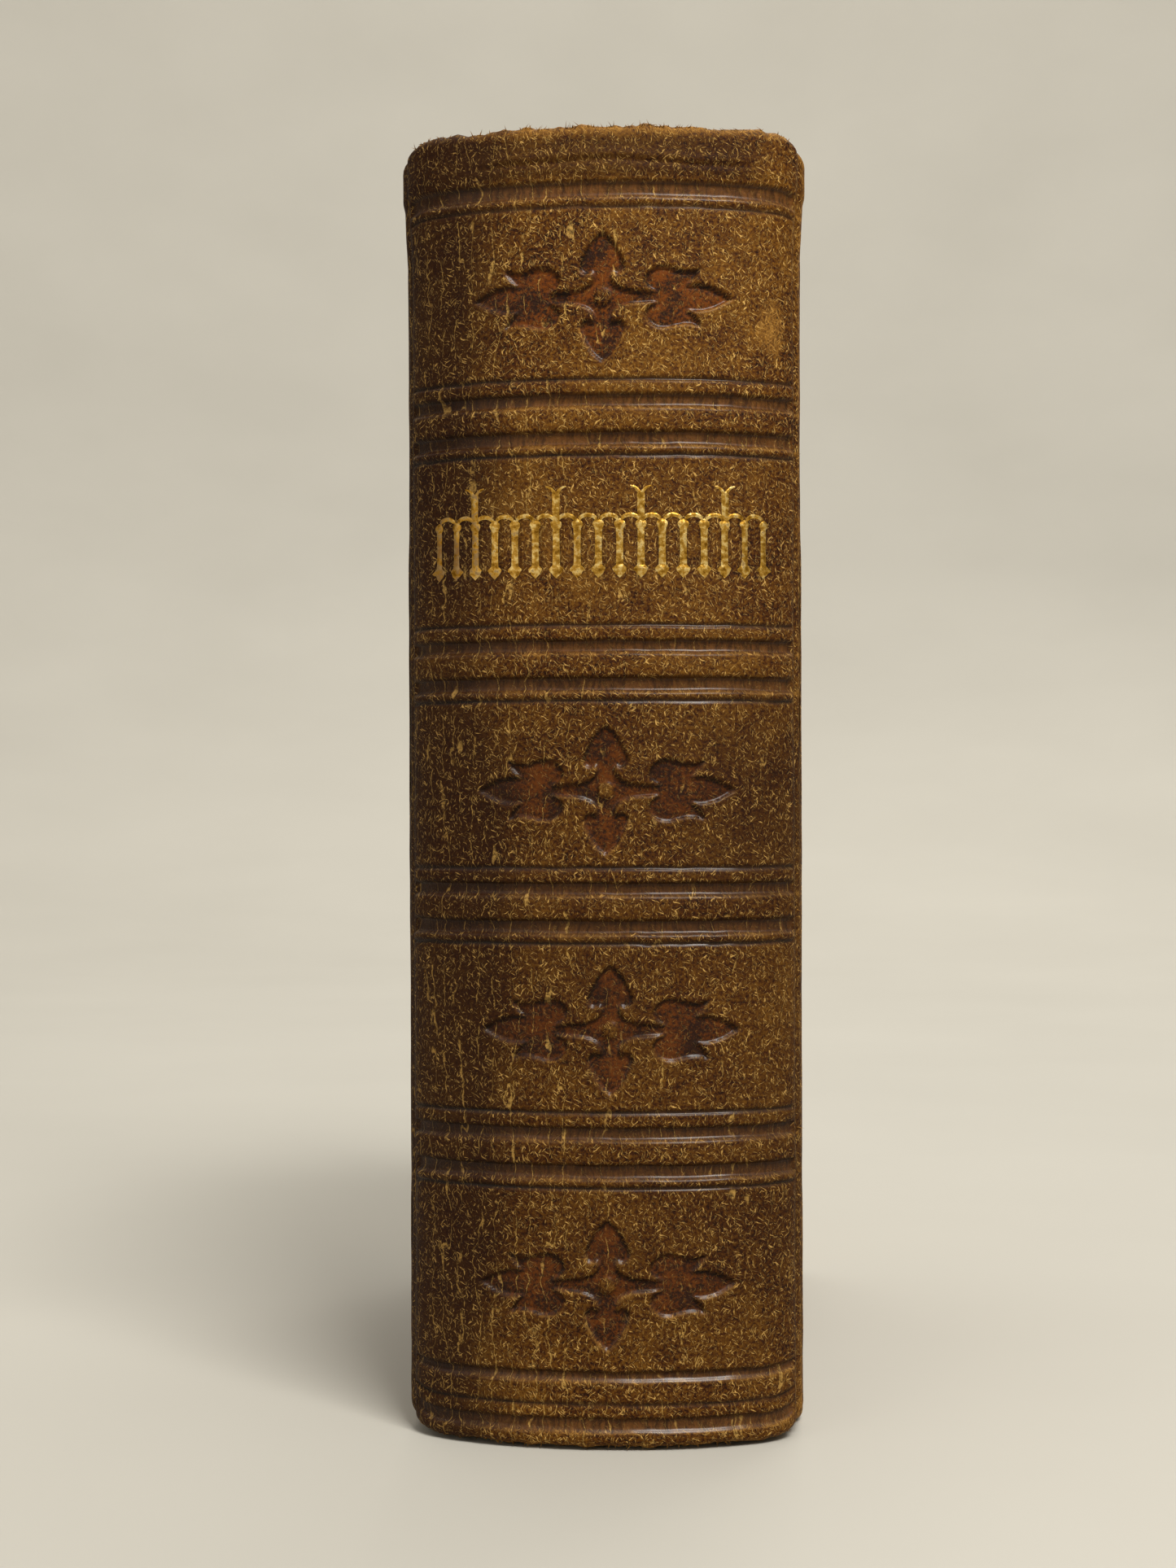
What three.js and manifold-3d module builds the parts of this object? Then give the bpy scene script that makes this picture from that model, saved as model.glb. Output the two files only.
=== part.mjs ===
// A small leather-bound prayer book, closed and standing on its tail edge, in millimetres.
// +Z runs from tail to head, -Y is the way the spine faces, and +X is the side of the front cover.
// The origin is the middle of the book's footprint, at the level of the surface it stands on.
//
// The text block is fourteen sewn gatherings on a rounded spine. It is split at the middle opening:
// the front half swings about the crest of the spine, so every layer of the spine is made as a
// front half and a back half. The back side is the front side mirrored in x.
import * as THREE from "three";
import { mergeVertices } from "three/addons/utils/BufferGeometryUtils.js";
import Module from "manifold-3d";

const wasm = await Module();
wasm.setup();

// Driving dimensions of the closed book.
const coverHeight = 120;
const bookDepth = 82; // crest of the spine to the fore-edge of the boards
const bookThickness = 36.6; // over both leather sides
const spineRise = 7.7; // how far the spine's crest stands out from the joints
const headSquare = 2.5; // how far the boards overhang the leaves at head and tail
const foreSquare = 2.5; // the same at the fore-edge

// Leather and boards.
const leatherThickness = 0.9;
const paredThickness = 0.3; // of the leather where it is turned in over the board
const turnInWidth = 9;
const boardThickness = 2;
const cornerRadius = 2; // of the leather at the boards' fore-edge corners
const jointGap = 3; // from the joint line to the boards and their leather
const leatherPastJoint = 0.8; // how far the spine leather carries on past the joint line

// Tooled bands, pressed into the leather across the spine: pairs of them, one near the head and
// one near the tail.
const bandDepth = 0.3;
const bandWidth = 1.3;
const bandPairs = 4;
const bandPairSpacing = 3.4; // between the two bands of a pair
const panelPitch = 22.1; // from the middle of a pair to the middle of the next
const headBandDrop = 5.85; // from the head to the middle of the single band there
const tailBandRise = 2.3; // the same at the tail

// Layers under the spine leather, from the outside in.
const liningThickness = 0.5;
const mullThickness = 0.25;
const tapeThickness = 0.3;
const tapeWidth = 7;
const tapeSpacing = 35; // between the middles of the three tapes
const slipLength = 12; // of the tape ends and the mull's flange on each board
const layerArc = 78 * (Math.PI / 180); // how far round the spine's ellipse the inner layers reach

// Head and tail.
const capHeight = 1.4; // of the leather folded over the head and tail of the spine
const endbandHeight = 1.6;
const endbandDepth = 1.9;

// Paper.
const gatheringsPerHalf = 7;
const leafThickness = 0.15; // of a flyleaf or a middle leaf
const middleLeaves = 3;
const pastedownOverSlips = 0.13; // what is left of the pastedown where it covers the slips

// Clearances.
const splitGap = 0.15; // from the middle plane to each half of a spine layer
const glueGap = 0.1; // between layers that are glued together
const leafGap = 0.05; // between leaves, and between gatherings
const airGap = 0.07; // between the cover's inner face and the flyleaf
const slipGap = 0.3; // around each slip in the mull's flange

// Worked out from the above.
const halfThickness = bookThickness / 2;
const jointY = -bookDepth / 2 + spineRise;
const foreEdgeY = bookDepth / 2;
const coverFootY = jointY + jointGap;
const boardOuterX = halfThickness - leatherThickness - glueGap / 2;
const boardInnerX = boardOuterX - boardThickness;
const turnInOuterX = boardInnerX - glueGap / 2;
const coverInnerX = turnInOuterX - paredThickness;
const slipX = coverInnerX + pastedownOverSlips + glueGap / 2;
const flyleafX = coverInnerX - airGap - leafThickness;
const blockHalf = flyleafX - leafGap;
const liningInset = leatherThickness + glueGap;
const mullInset = liningInset + liningThickness + glueGap;
const tapeInset = mullInset + mullThickness + glueGap;
const foldInset = tapeInset + tapeThickness + glueGap;
const capDepth = foldInset - glueGap; // the leather's caps reach in as far as the endbands
const middleGap = (middleLeaves * (leafThickness + leafGap) + leafGap) / 2;
const gatheringPitch = (blockHalf - middleGap) / gatheringsPerHalf;
const gatheringThickness = gatheringPitch - leafGap;
const leafFootZ = headSquare;
const leafHeadZ = coverHeight - headSquare;
const leafWidth = foreEdgeY - foreSquare - foldY(blockHalf);
const boardInset = leatherThickness + glueGap / 2; // of the board's outline inside the leather's
const tapeHeights = [-1, 0, 1].map((i) => coverHeight / 2 + i * tapeSpacing);

const leather = new THREE.MeshStandardMaterial({ color: 0x67441a, roughness: 0.62 });
const board = new THREE.MeshStandardMaterial({ color: 0x8d7f6a, roughness: 0.9 });
const leaves = new THREE.MeshStandardMaterial({ color: 0xe2d2aa, roughness: 0.9 });
const endpaper = new THREE.MeshStandardMaterial({ color: 0x5a1f1c, roughness: 0.7 });
const card = new THREE.MeshStandardMaterial({ color: 0xb7a07a, roughness: 0.9 });
const cloth = new THREE.MeshStandardMaterial({ color: 0xd8ceb4, roughness: 1 });
const silk = new THREE.MeshStandardMaterial({ color: 0x8a3a22, roughness: 0.55 });

// The fold line of a leaf that stands x from the middle plane, on the rounded back of the text block.
function foldY(x) {
  const a = halfThickness - foldInset;
  const b = spineRise - foldInset;
  return jointY - b * Math.sqrt(1 - (x / a) ** 2);
}

function solidFrom(geometry) {
  const bare = geometry.index ? geometry.toNonIndexed() : geometry.clone();
  bare.deleteAttribute("normal");
  bare.deleteAttribute("uv");
  const merged = mergeVertices(bare, 1e-4);
  const mesh = new wasm.Mesh({
    numProp: 3,
    vertProperties: new Float32Array(merged.attributes.position.array),
    triVerts: new Uint32Array(merged.index.array),
  });
  return new wasm.Manifold(mesh);
}

function geometryFrom(solid) {
  const mesh = solid.getMesh();
  const geometry = new THREE.BufferGeometry();
  geometry.setAttribute("position", new THREE.BufferAttribute(mesh.vertProperties, 3));
  geometry.setIndex(new THREE.BufferAttribute(mesh.triVerts, 1));
  geometry.computeVertexNormals();
  return geometry;
}

// A shape drawn in x and y, standing from z0 up to z1.
function upright(shape, z0, z1) {
  const geometry = new THREE.ExtrudeGeometry(shape, { depth: z1 - z0, bevelEnabled: false });
  return geometry.translate(0, 0, z0);
}

// A shape drawn in y and z, reaching from x0 to x1.
function sideways(shape, x0, x1) {
  const geometry = new THREE.ExtrudeGeometry(shape, { depth: x1 - x0, bevelEnabled: false });
  const turn = new THREE.Matrix4().set(0, 0, 1, 0, 1, 0, 0, 0, 0, 1, 0, 0, 0, 0, 0, 1);
  return geometry.applyMatrix4(turn).translate(x0, 0, 0);
}

function rectangle(u0, u1, v0, v1) {
  const corners = [new THREE.Vector2(u0, v0), new THREE.Vector2(u1, v0)];
  corners.push(new THREE.Vector2(u1, v1), new THREE.Vector2(u0, v1));
  return new THREE.Shape(corners);
}

// A rectangle in y and z whose two corners at y1 are rounded.
function coverOutline(y0, y1, z0, z1, radius) {
  const arcSteps = 5;
  const points = [new THREE.Vector2(y0, z0)];
  for (const [centreZ, start] of [[z0 + radius, -90], [z1 - radius, 0]]) {
    for (let i = 0; i <= arcSteps; i++) {
      const angle = THREE.MathUtils.degToRad(start + (90 * i) / arcSteps);
      const y = y1 - radius + radius * Math.cos(angle);
      points.push(new THREE.Vector2(y, centreZ + radius * Math.sin(angle)));
    }
  }
  points.push(new THREE.Vector2(y0, z1));
  return new THREE.Shape(points);
}

// One half of a layer that wraps the rounded spine, seen from above. The layer lies between two
// ellipses, set in by outer and inner from the leather's face, and starts at the middle plane's gap.
// It ends at the angle given, or runs straight on past the joint line by straightEnd.
function spineLayer(outer, inner, endAngle, straightEnd = 0) {
  const arcSteps = 12;
  const side = (depth, reverse) => {
    const a = halfThickness - depth;
    const b = spineRise - depth;
    const start = Math.asin(splitGap / a);
    const points = [];
    for (let i = 0; i <= arcSteps; i++) {
      const u = start + ((endAngle - start) * i) / arcSteps;
      points.push(new THREE.Vector2(a * Math.sin(u), jointY - b * Math.cos(u)));
    }
    if (straightEnd) points.push(new THREE.Vector2(a, jointY + straightEnd));
    return reverse ? points.reverse() : points;
  };
  return new THREE.Shape([...side(outer, false), ...side(inner, true)]);
}

// A gathering is folded sheets: round at the fold, and cut at the fore-edge along the same curve.
function gathering(index) {
  const noseSteps = 6;
  const middleX = middleGap + gatheringPitch * (index + 0.5);
  const r = gatheringThickness / 2;
  const points = [];
  for (let i = 0; i <= noseSteps; i++) {
    const angle = Math.PI + (Math.PI * i) / noseSteps;
    points.push(new THREE.Vector2(middleX + r * Math.cos(angle), r * Math.sin(angle)));
  }
  // The fold touches the rounded back of the block with whichever of its points stands furthest out.
  const noseY = Math.max(...points.map((point) => foldY(point.x) - point.y));
  for (const point of points) point.y += noseY;
  for (const x of [middleX + r, middleX, middleX - r]) {
    points.push(new THREE.Vector2(x, foldY(x) + leafWidth));
  }
  return upright(new THREE.Shape(points), leafFootZ, leafHeadZ);
}

function bandHeights() {
  const heights = [tailBandRise, coverHeight - headBandDrop];
  for (let i = 0; i < bandPairs; i++) {
    const middle = coverHeight / 2 + (i - (bandPairs - 1) / 2) * panelPitch;
    heights.push(middle - bandPairSpacing / 2, middle + bandPairSpacing / 2);
  }
  return heights;
}

// Spine leather: one thickness round the spine, folded over into a cap at head and tail.
function spineLeather() {
  const wall = spineLayer(0, leatherThickness, Math.PI / 2, leatherPastJoint);
  const cap = spineLayer(0, capDepth, Math.PI / 2, leatherPastJoint);
  const body = solidFrom(upright(wall, 0, coverHeight));
  const tailCap = solidFrom(upright(cap, 0, capHeight));
  const headCap = solidFrom(upright(cap, coverHeight - capHeight, coverHeight));
  let solid = body.add(tailCap).add(headCap);
  const pressed = spineLayer(-bandDepth, bandDepth, Math.PI / 2, 2 * leatherPastJoint);
  for (const height of bandHeights()) {
    const band = upright(pressed, height - bandWidth / 2, height + bandWidth / 2);
    solid = solid.subtract(solidFrom(band));
  }
  return geometryFrom(solid);
}

// Side leather: a sleeve round the board, open at the joint, with its turn-ins on the inner face.
function sideLeather() {
  const open = coverFootY - turnInWidth; // any place clear of the sleeve's open end
  const outline = coverOutline(coverFootY, foreEdgeY, 0, coverHeight, cornerRadius);
  const sleeve = solidFrom(sideways(outline, coverInnerX, halfThickness));
  const cavityOutline = coverOutline(
    open,
    foreEdgeY - leatherThickness,
    leatherThickness,
    coverHeight - leatherThickness,
    cornerRadius,
  );
  const cavityOuterX = halfThickness - leatherThickness;
  const cavity = solidFrom(sideways(cavityOutline, turnInOuterX, cavityOuterX));
  const edge = foreEdgeY - turnInWidth;
  const windowOutline = rectangle(open, edge, turnInWidth, coverHeight - turnInWidth);
  const window = solidFrom(sideways(windowOutline, coverInnerX - glueGap, boardInnerX));
  return geometryFrom(sleeve.subtract(cavity).subtract(window));
}

function boardCore() {
  const head = coverHeight - boardInset;
  const outline = coverOutline(coverFootY, foreEdgeY - boardInset, boardInset, head, cornerRadius);
  return sideways(outline, boardInnerX, boardOuterX);
}

function tapeSlip(height) {
  const foot = coverFootY + 2 * slipGap;
  const end = coverFootY + slipLength;
  const outline = rectangle(foot, end, height - tapeWidth / 2, height + tapeWidth / 2);
  return sideways(outline, slipX, turnInOuterX);
}

// The mull's flange on the board: one strip along the joint, notched where the tape slips lie.
function mullFlange() {
  const margin = turnInWidth + glueGap;
  const end = coverFootY + slipLength;
  const outline = rectangle(coverFootY, end - slipGap, margin, coverHeight - margin);
  let flange = solidFrom(sideways(outline, slipX, turnInOuterX));
  for (const height of tapeHeights) {
    const reach = tapeWidth / 2 + slipGap;
    const notch = rectangle(coverFootY + slipGap, end, height - reach, height + reach);
    flange = flange.subtract(solidFrom(sideways(notch, 0, bookThickness)));
  }
  return geometryFrom(flange);
}

// Paper pasted inside the board, thinned where it covers the slips and the flange.
function pastedown() {
  const margin = turnInWidth + glueGap;
  const outline = rectangle(coverFootY, foreEdgeY - margin, margin, coverHeight - margin);
  const sheet = solidFrom(sideways(outline, coverInnerX, turnInOuterX));
  const over = rectangle(coverFootY - 1, coverFootY + slipLength + slipGap, 0, coverHeight);
  const rebate = sideways(over, coverInnerX + pastedownOverSlips, bookThickness);
  return geometryFrom(sheet.subtract(solidFrom(rebate)));
}

function leaf(x, y0, y1) {
  return sideways(rectangle(y0, y1, leafFootZ, leafHeadZ), x, x + leafThickness);
}

function spineTape(height) {
  const layer = spineLayer(tapeInset, tapeInset + tapeThickness, layerArc);
  return upright(layer, height - tapeWidth / 2, height + tapeWidth / 2);
}

function endband(z0) {
  return upright(spineLayer(foldInset, foldInset + endbandDepth, layerArc), z0, z0 + endbandHeight);
}

// Everything on one side of the middle plane, modelled at +x.
function bookSide(name) {
  const side = new THREE.Group();
  const add = (part, geometry, material) => {
    const mesh = new THREE.Mesh(geometry, material);
    mesh.name = `${name}_${part}`;
    side.add(mesh);
  };

  const liningFoot = capHeight + glueGap;
  const liningTop = coverHeight - liningFoot;
  const liningShape = spineLayer(liningInset, liningInset + liningThickness, layerArc);
  const mullShape = spineLayer(mullInset, mullInset + mullThickness, layerArc);
  add("spine_leather", spineLeather(), leather);
  add("spine_lining", upright(liningShape, liningFoot, liningTop), card);
  add("spine_mull", upright(mullShape, liningFoot, liningTop), cloth);
  add("headband", endband(leafHeadZ + leafGap), silk);
  add("tailband", endband(leafFootZ - leafGap - endbandHeight), silk);
  for (let i = 0; i < gatheringsPerHalf; i++) {
    add(`gathering_${i + 1}`, gathering(i), leaves);
  }

  add("side_leather", sideLeather(), leather);
  add("board", boardCore(), board);
  add("pastedown", pastedown(), endpaper);
  add("mull_flange", mullFlange(), cloth);
  tapeHeights.forEach((height, i) => {
    add(`tape_${i + 1}`, spineTape(height), cloth);
    add(`tape_slip_${i + 1}`, tapeSlip(height), cloth);
  });

  const flyleafFoot = jointY + leatherPastJoint;
  add("flyleaf", leaf(flyleafX, flyleafFoot, foreEdgeY - foreSquare), endpaper);
  return side;
}

// The leaves at the middle opening, side by side on the middle plane.
function middleOpening() {
  const group = new THREE.Group();
  const pitch = leafThickness + leafGap;
  for (let i = 0; i < middleLeaves; i++) {
    const x = (i - (middleLeaves - 1) / 2) * pitch - leafThickness / 2;
    const mesh = new THREE.Mesh(leaf(x, foldY(0), foldY(0) + leafWidth), leaves);
    mesh.name = `middle_leaf_${i + 1}`;
    group.add(mesh);
  }
  return group;
}

const frontSide = bookSide("front");
const backSide = bookSide("back");
backSide.scale.x = -1;

const book = new THREE.Group();
book.add(frontSide, backSide, middleOpening());

export default book;
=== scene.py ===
import functools
import math

import bmesh
import bpy
import numpy as np
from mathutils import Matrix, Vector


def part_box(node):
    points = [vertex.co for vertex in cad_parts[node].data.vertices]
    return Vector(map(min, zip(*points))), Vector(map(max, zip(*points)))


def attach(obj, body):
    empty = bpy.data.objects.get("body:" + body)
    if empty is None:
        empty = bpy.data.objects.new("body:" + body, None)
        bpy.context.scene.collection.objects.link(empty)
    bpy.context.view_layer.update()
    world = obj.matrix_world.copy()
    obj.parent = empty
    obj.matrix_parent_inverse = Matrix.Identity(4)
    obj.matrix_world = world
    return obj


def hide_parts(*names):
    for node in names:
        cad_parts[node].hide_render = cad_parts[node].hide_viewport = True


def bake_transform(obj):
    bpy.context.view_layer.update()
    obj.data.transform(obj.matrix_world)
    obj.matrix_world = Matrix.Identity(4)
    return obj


# The leather prayer book: tooled spine, covers, gilt leaves and worked endbands, on a plain floor.
# Lengths below are in millimetres and turn into metres where a mesh is made.

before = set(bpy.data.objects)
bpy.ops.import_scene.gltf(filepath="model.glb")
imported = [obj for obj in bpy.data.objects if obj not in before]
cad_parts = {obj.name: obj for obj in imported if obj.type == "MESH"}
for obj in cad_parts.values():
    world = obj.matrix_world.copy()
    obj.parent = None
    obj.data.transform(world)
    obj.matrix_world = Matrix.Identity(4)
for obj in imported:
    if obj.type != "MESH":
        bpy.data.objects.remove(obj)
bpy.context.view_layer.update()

# the camera stands square to the spine, a little to the front-cover side, at half its height

view = {
    "target": (0.0, -0.041, 0.0604),
    "azimuth": 4.0,
    "distance": 0.215,
    "lens": 54.6,
    "aside": -0.001,
    "lean": 0.003,
}

cameraData = bpy.data.cameras.new("camera")
cameraData.lens = view["lens"]
cameraData.sensor_fit = "VERTICAL"
cameraData.sensor_height = 36.0
cameraData.clip_start = 0.01
camera = bpy.data.objects.new("camera", cameraData)
bpy.context.scene.collection.objects.link(camera)
bpy.context.scene.camera = camera
bearing = math.radians(view["azimuth"])
rightWay = np.array([math.cos(bearing), math.sin(bearing), 0.0])
towards = np.array([-math.sin(bearing), math.cos(bearing), 0.0])
aim = np.array(view["target"]) + view["aside"] * rightWay
camera.location = aim - view["distance"] * towards
camera.rotation_euler = (math.pi / 2, view["lean"], bearing)

book = {
    "height": 120.0,
    "halfThickness": 18.3,
    "spineRise": 7.7,
    "jointY": -33.3,
    "foreEdgeY": 41.0,
    "boardFootY": -30.3,
    "coverThickness": 3.3,
    "foldInset": 2.35,
    "leafWidth": 73.87,
}


def linearColour(code):
    channels = [int(code[i:i + 2], 16) / 255 for i in (1, 3, 5)]
    return tuple(c / 12.92 if c <= 0.04045 else ((c + 0.055) / 1.055) ** 2.4 for c in channels) + (1.0,)


def addNode(tree, kind, inputs=(), out=0, stops=(), **settings):
    # one shader node; inputs by name or in order, each a link, a number or a hex colour
    made = tree.nodes.new("ShaderNode" + kind)
    for key, value in settings.items():
        setattr(made, key, value)
    for index, (place, colour) in enumerate(stops):
        elements = made.color_ramp.elements
        element = elements[index] if index < len(elements) else elements.new(place)
        element.position, element.color = place, linearColour(colour)
    for key, value in inputs.items() if isinstance(inputs, dict) else enumerate(inputs):
        if isinstance(value, bpy.types.NodeSocket):
            tree.links.new(value, made.inputs[key])
        elif value is not None:
            made.inputs[key].default_value = linearColour(value) if isinstance(value, str) else value
    return made.outputs[out] if made.outputs else made


colourMix = {"out": 2, "data_type": "RGBA"}    # a Mix node set to colours: 0 the share, 6 and 7 the two


def newMaterial(name, describe, *values):
    # describe(add, ...) gives the shader's inputs; add is addNode on this material's nodes
    material = bpy.data.materials.new(name)
    material.use_nodes = True
    material.node_tree.nodes.clear()
    add = functools.partial(addNode, material.node_tree)
    add("OutputMaterial", [add("BsdfPrincipled", describe(add, *values))])
    return material


def smoothStep(value, low, high):
    t = np.clip((value - low) / (high - low), 0, 1)
    return t * t * (3 - 2 * t)


def bell(value, middle, width):
    return np.exp(-((value - middle) / width) ** 2)


def valueNoise(u, v, cell, seed):
    # random numbers on a square lattice one cell apart, eased from each to the next, from -1 to 1
    table = np.random.default_rng(seed).uniform(-1, 1, (256, 256))
    p, q = np.broadcast_arrays(np.asarray(u, float) / cell + 512, np.asarray(v, float) / cell + 512)
    i, j = np.floor(p).astype(int), np.floor(q).astype(int)
    f, g = p - i, q - j
    f, g = f * f * (3 - 2 * f), g * g * (3 - 2 * g)
    i, j, k, m = i % 256, j % 256, (i + 1) % 256, (j + 1) % 256
    low = table[i, j] * (1 - f) + table[k, j] * f
    high = table[i, m] * (1 - f) + table[k, m] * f
    return low * (1 - g) + high * g


def gradedSteps(low, high, spacingAt):
    # places from low to high, as far apart as spacingAt says there
    fine = np.linspace(low, high, 6001)
    middle = (fine[1:] + fine[:-1]) / 2
    count = np.concatenate([[0], np.cumsum((fine[1] - fine[0]) / spacingAt(middle))])
    total = int(math.ceil(count[-1]))
    return np.interp(np.linspace(0, count[-1], total + 1), count, fine)


def gridFaces(rows, columns, flip=False, closed=False, first=0):
    index = np.arange(rows * columns).reshape(rows, columns) + first
    if closed:
        index = np.hstack([index, index[:, :1]])
    corners = [index[:-1, :-1], index[:-1, 1:], index[1:, 1:], index[1:, :-1]]
    faces = np.stack(corners, -1).reshape(-1, 4)
    return faces[:, ::-1] if flip else faces


def addPiece(name, grids, *materials, weld=0.0, smooth=True):
    # grids is a list of dictionaries: points (rows, columns, 3) in mm, flip, closed, finish, and one
    # value or one array for each attribute
    points, faces, finishes, values, first = [], [], [], {}, 0
    for grid in grids:
        rows, columns = grid["points"].shape[:2]
        points.append(grid["points"].reshape(-1, 3))
        faces.append(gridFaces(rows, columns, grid.get("flip", False), grid.get("closed", False), first))
        finishes.append(np.full(len(faces[-1]), grid.get("finish", 0), np.int32))
        for key, value in grid.get("values", {}).items():
            shape = (rows, columns, 3) if key == "flatMm" else (rows, columns)
            full = np.broadcast_to(value, shape).astype(np.float32)
            values.setdefault(key, []).append(full.reshape(-1, 3) if key == "flatMm" else full.ravel())
        first += rows * columns
    points, faces = np.vstack(points) / 1000, np.vstack(faces)
    mesh = bpy.data.meshes.new(name)
    mesh.vertices.add(len(points))
    mesh.vertices.foreach_set("co", points.astype(np.float32).ravel())
    mesh.loops.add(faces.size)
    mesh.loops.foreach_set("vertex_index", faces.astype(np.int32).ravel())
    mesh.polygons.add(len(faces))
    mesh.polygons.foreach_set("loop_start", np.arange(0, faces.size, 4, dtype=np.int32))
    for finish in materials:
        mesh.materials.append(finish)
    mesh.polygons.foreach_set("material_index", np.concatenate(finishes))
    mesh.update(calc_edges=True)
    for key, parts in values.items():
        kind = "FLOAT_VECTOR" if key == "flatMm" else "FLOAT"
        made = mesh.attributes.new(key, kind, "POINT")
        made.data.foreach_set("vector" if key == "flatMm" else "value", np.concatenate(parts).ravel())
    if weld:
        editable = bmesh.new()
        editable.from_mesh(mesh)
        bmesh.ops.remove_doubles(editable, verts=editable.verts, dist=weld / 1000)
        editable.to_mesh(mesh)
        editable.free()
    mesh.polygons.foreach_set("use_smooth", np.full(len(mesh.polygons), smooth))
    made = bpy.data.objects.new(name, mesh)
    bpy.context.scene.collection.objects.link(made)
    return made


# the spine's curve

def ellipseAt(u, inset):
    a, b = book["halfThickness"] - inset, book["spineRise"] - inset
    return np.stack([a * np.sin(u), book["jointY"] - b * np.cos(u)], -1)


angleTable = np.linspace(-math.pi / 2, math.pi / 2, 2001)
curveTable = ellipseAt(angleTable, 0.0)
arcTable = np.concatenate([[0], np.cumsum(np.linalg.norm(np.diff(curveTable, axis=0), axis=1))])
arcTable -= arcTable[-1] / 2
halfArc = arcTable[-1]


def spineCurve(s):
    # where the point s mm round from the crest lies, and which way the surface faces there;
    # past the joint line the curve runs straight on towards the boards
    x = np.interp(s, arcTable, curveTable[:, 0])
    y = np.interp(s, arcTable, curveTable[:, 1]) + np.maximum(np.abs(s) - halfArc, 0)
    u = np.interp(s, arcTable, angleTable)
    nx = np.sin(u) / book["halfThickness"]
    ny = -np.cos(u) / book["spineRise"]
    length = np.hypot(nx, ny)
    return np.stack([x, y], -1), np.stack([nx / length, ny / length], -1)


# calf: tanned skin, glazed with egg and burnished; worn, so its brown fibres stand up pale

leather = {
    "deep": "#1f0b01",        # pits and the darkest flecks
    "low": "#421f03",
    "middle": "#5e3a0a",
    "high": "#7e5419",
    "fibre": "#d3a75c",       # rubbed-up fibre ends
    "crack": "#c59c52",
    "pressed": "#3b210b",     # tooled bands
    "pressedLight": "#6a421b",
    "burntAndShade": "#110802",       # tool edges scorched dark, and painted shade under the upper edges of the tooling
    "stamped": "#261006",     # inside the fleurons
    "stampedLight": "#6b3504",
    # worn also paints the highlights along the lower edges of the tooling
    "worn": "#ad7d38",
    "grimeAndShade": "#200b01",       # grime, painted shade towards the back cover, and the darker lower half
    "fibreSize": (0.14, 1.0),    # mm; real fibres are finer, and are drawn coarser so that they show
    "fibreLean": (-0.8, -0.12, 0.5, 1.15),
    "crackApart": 1.7,            # mm between the long cracks, before they wander
    "roughness": 0.58,
}


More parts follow.
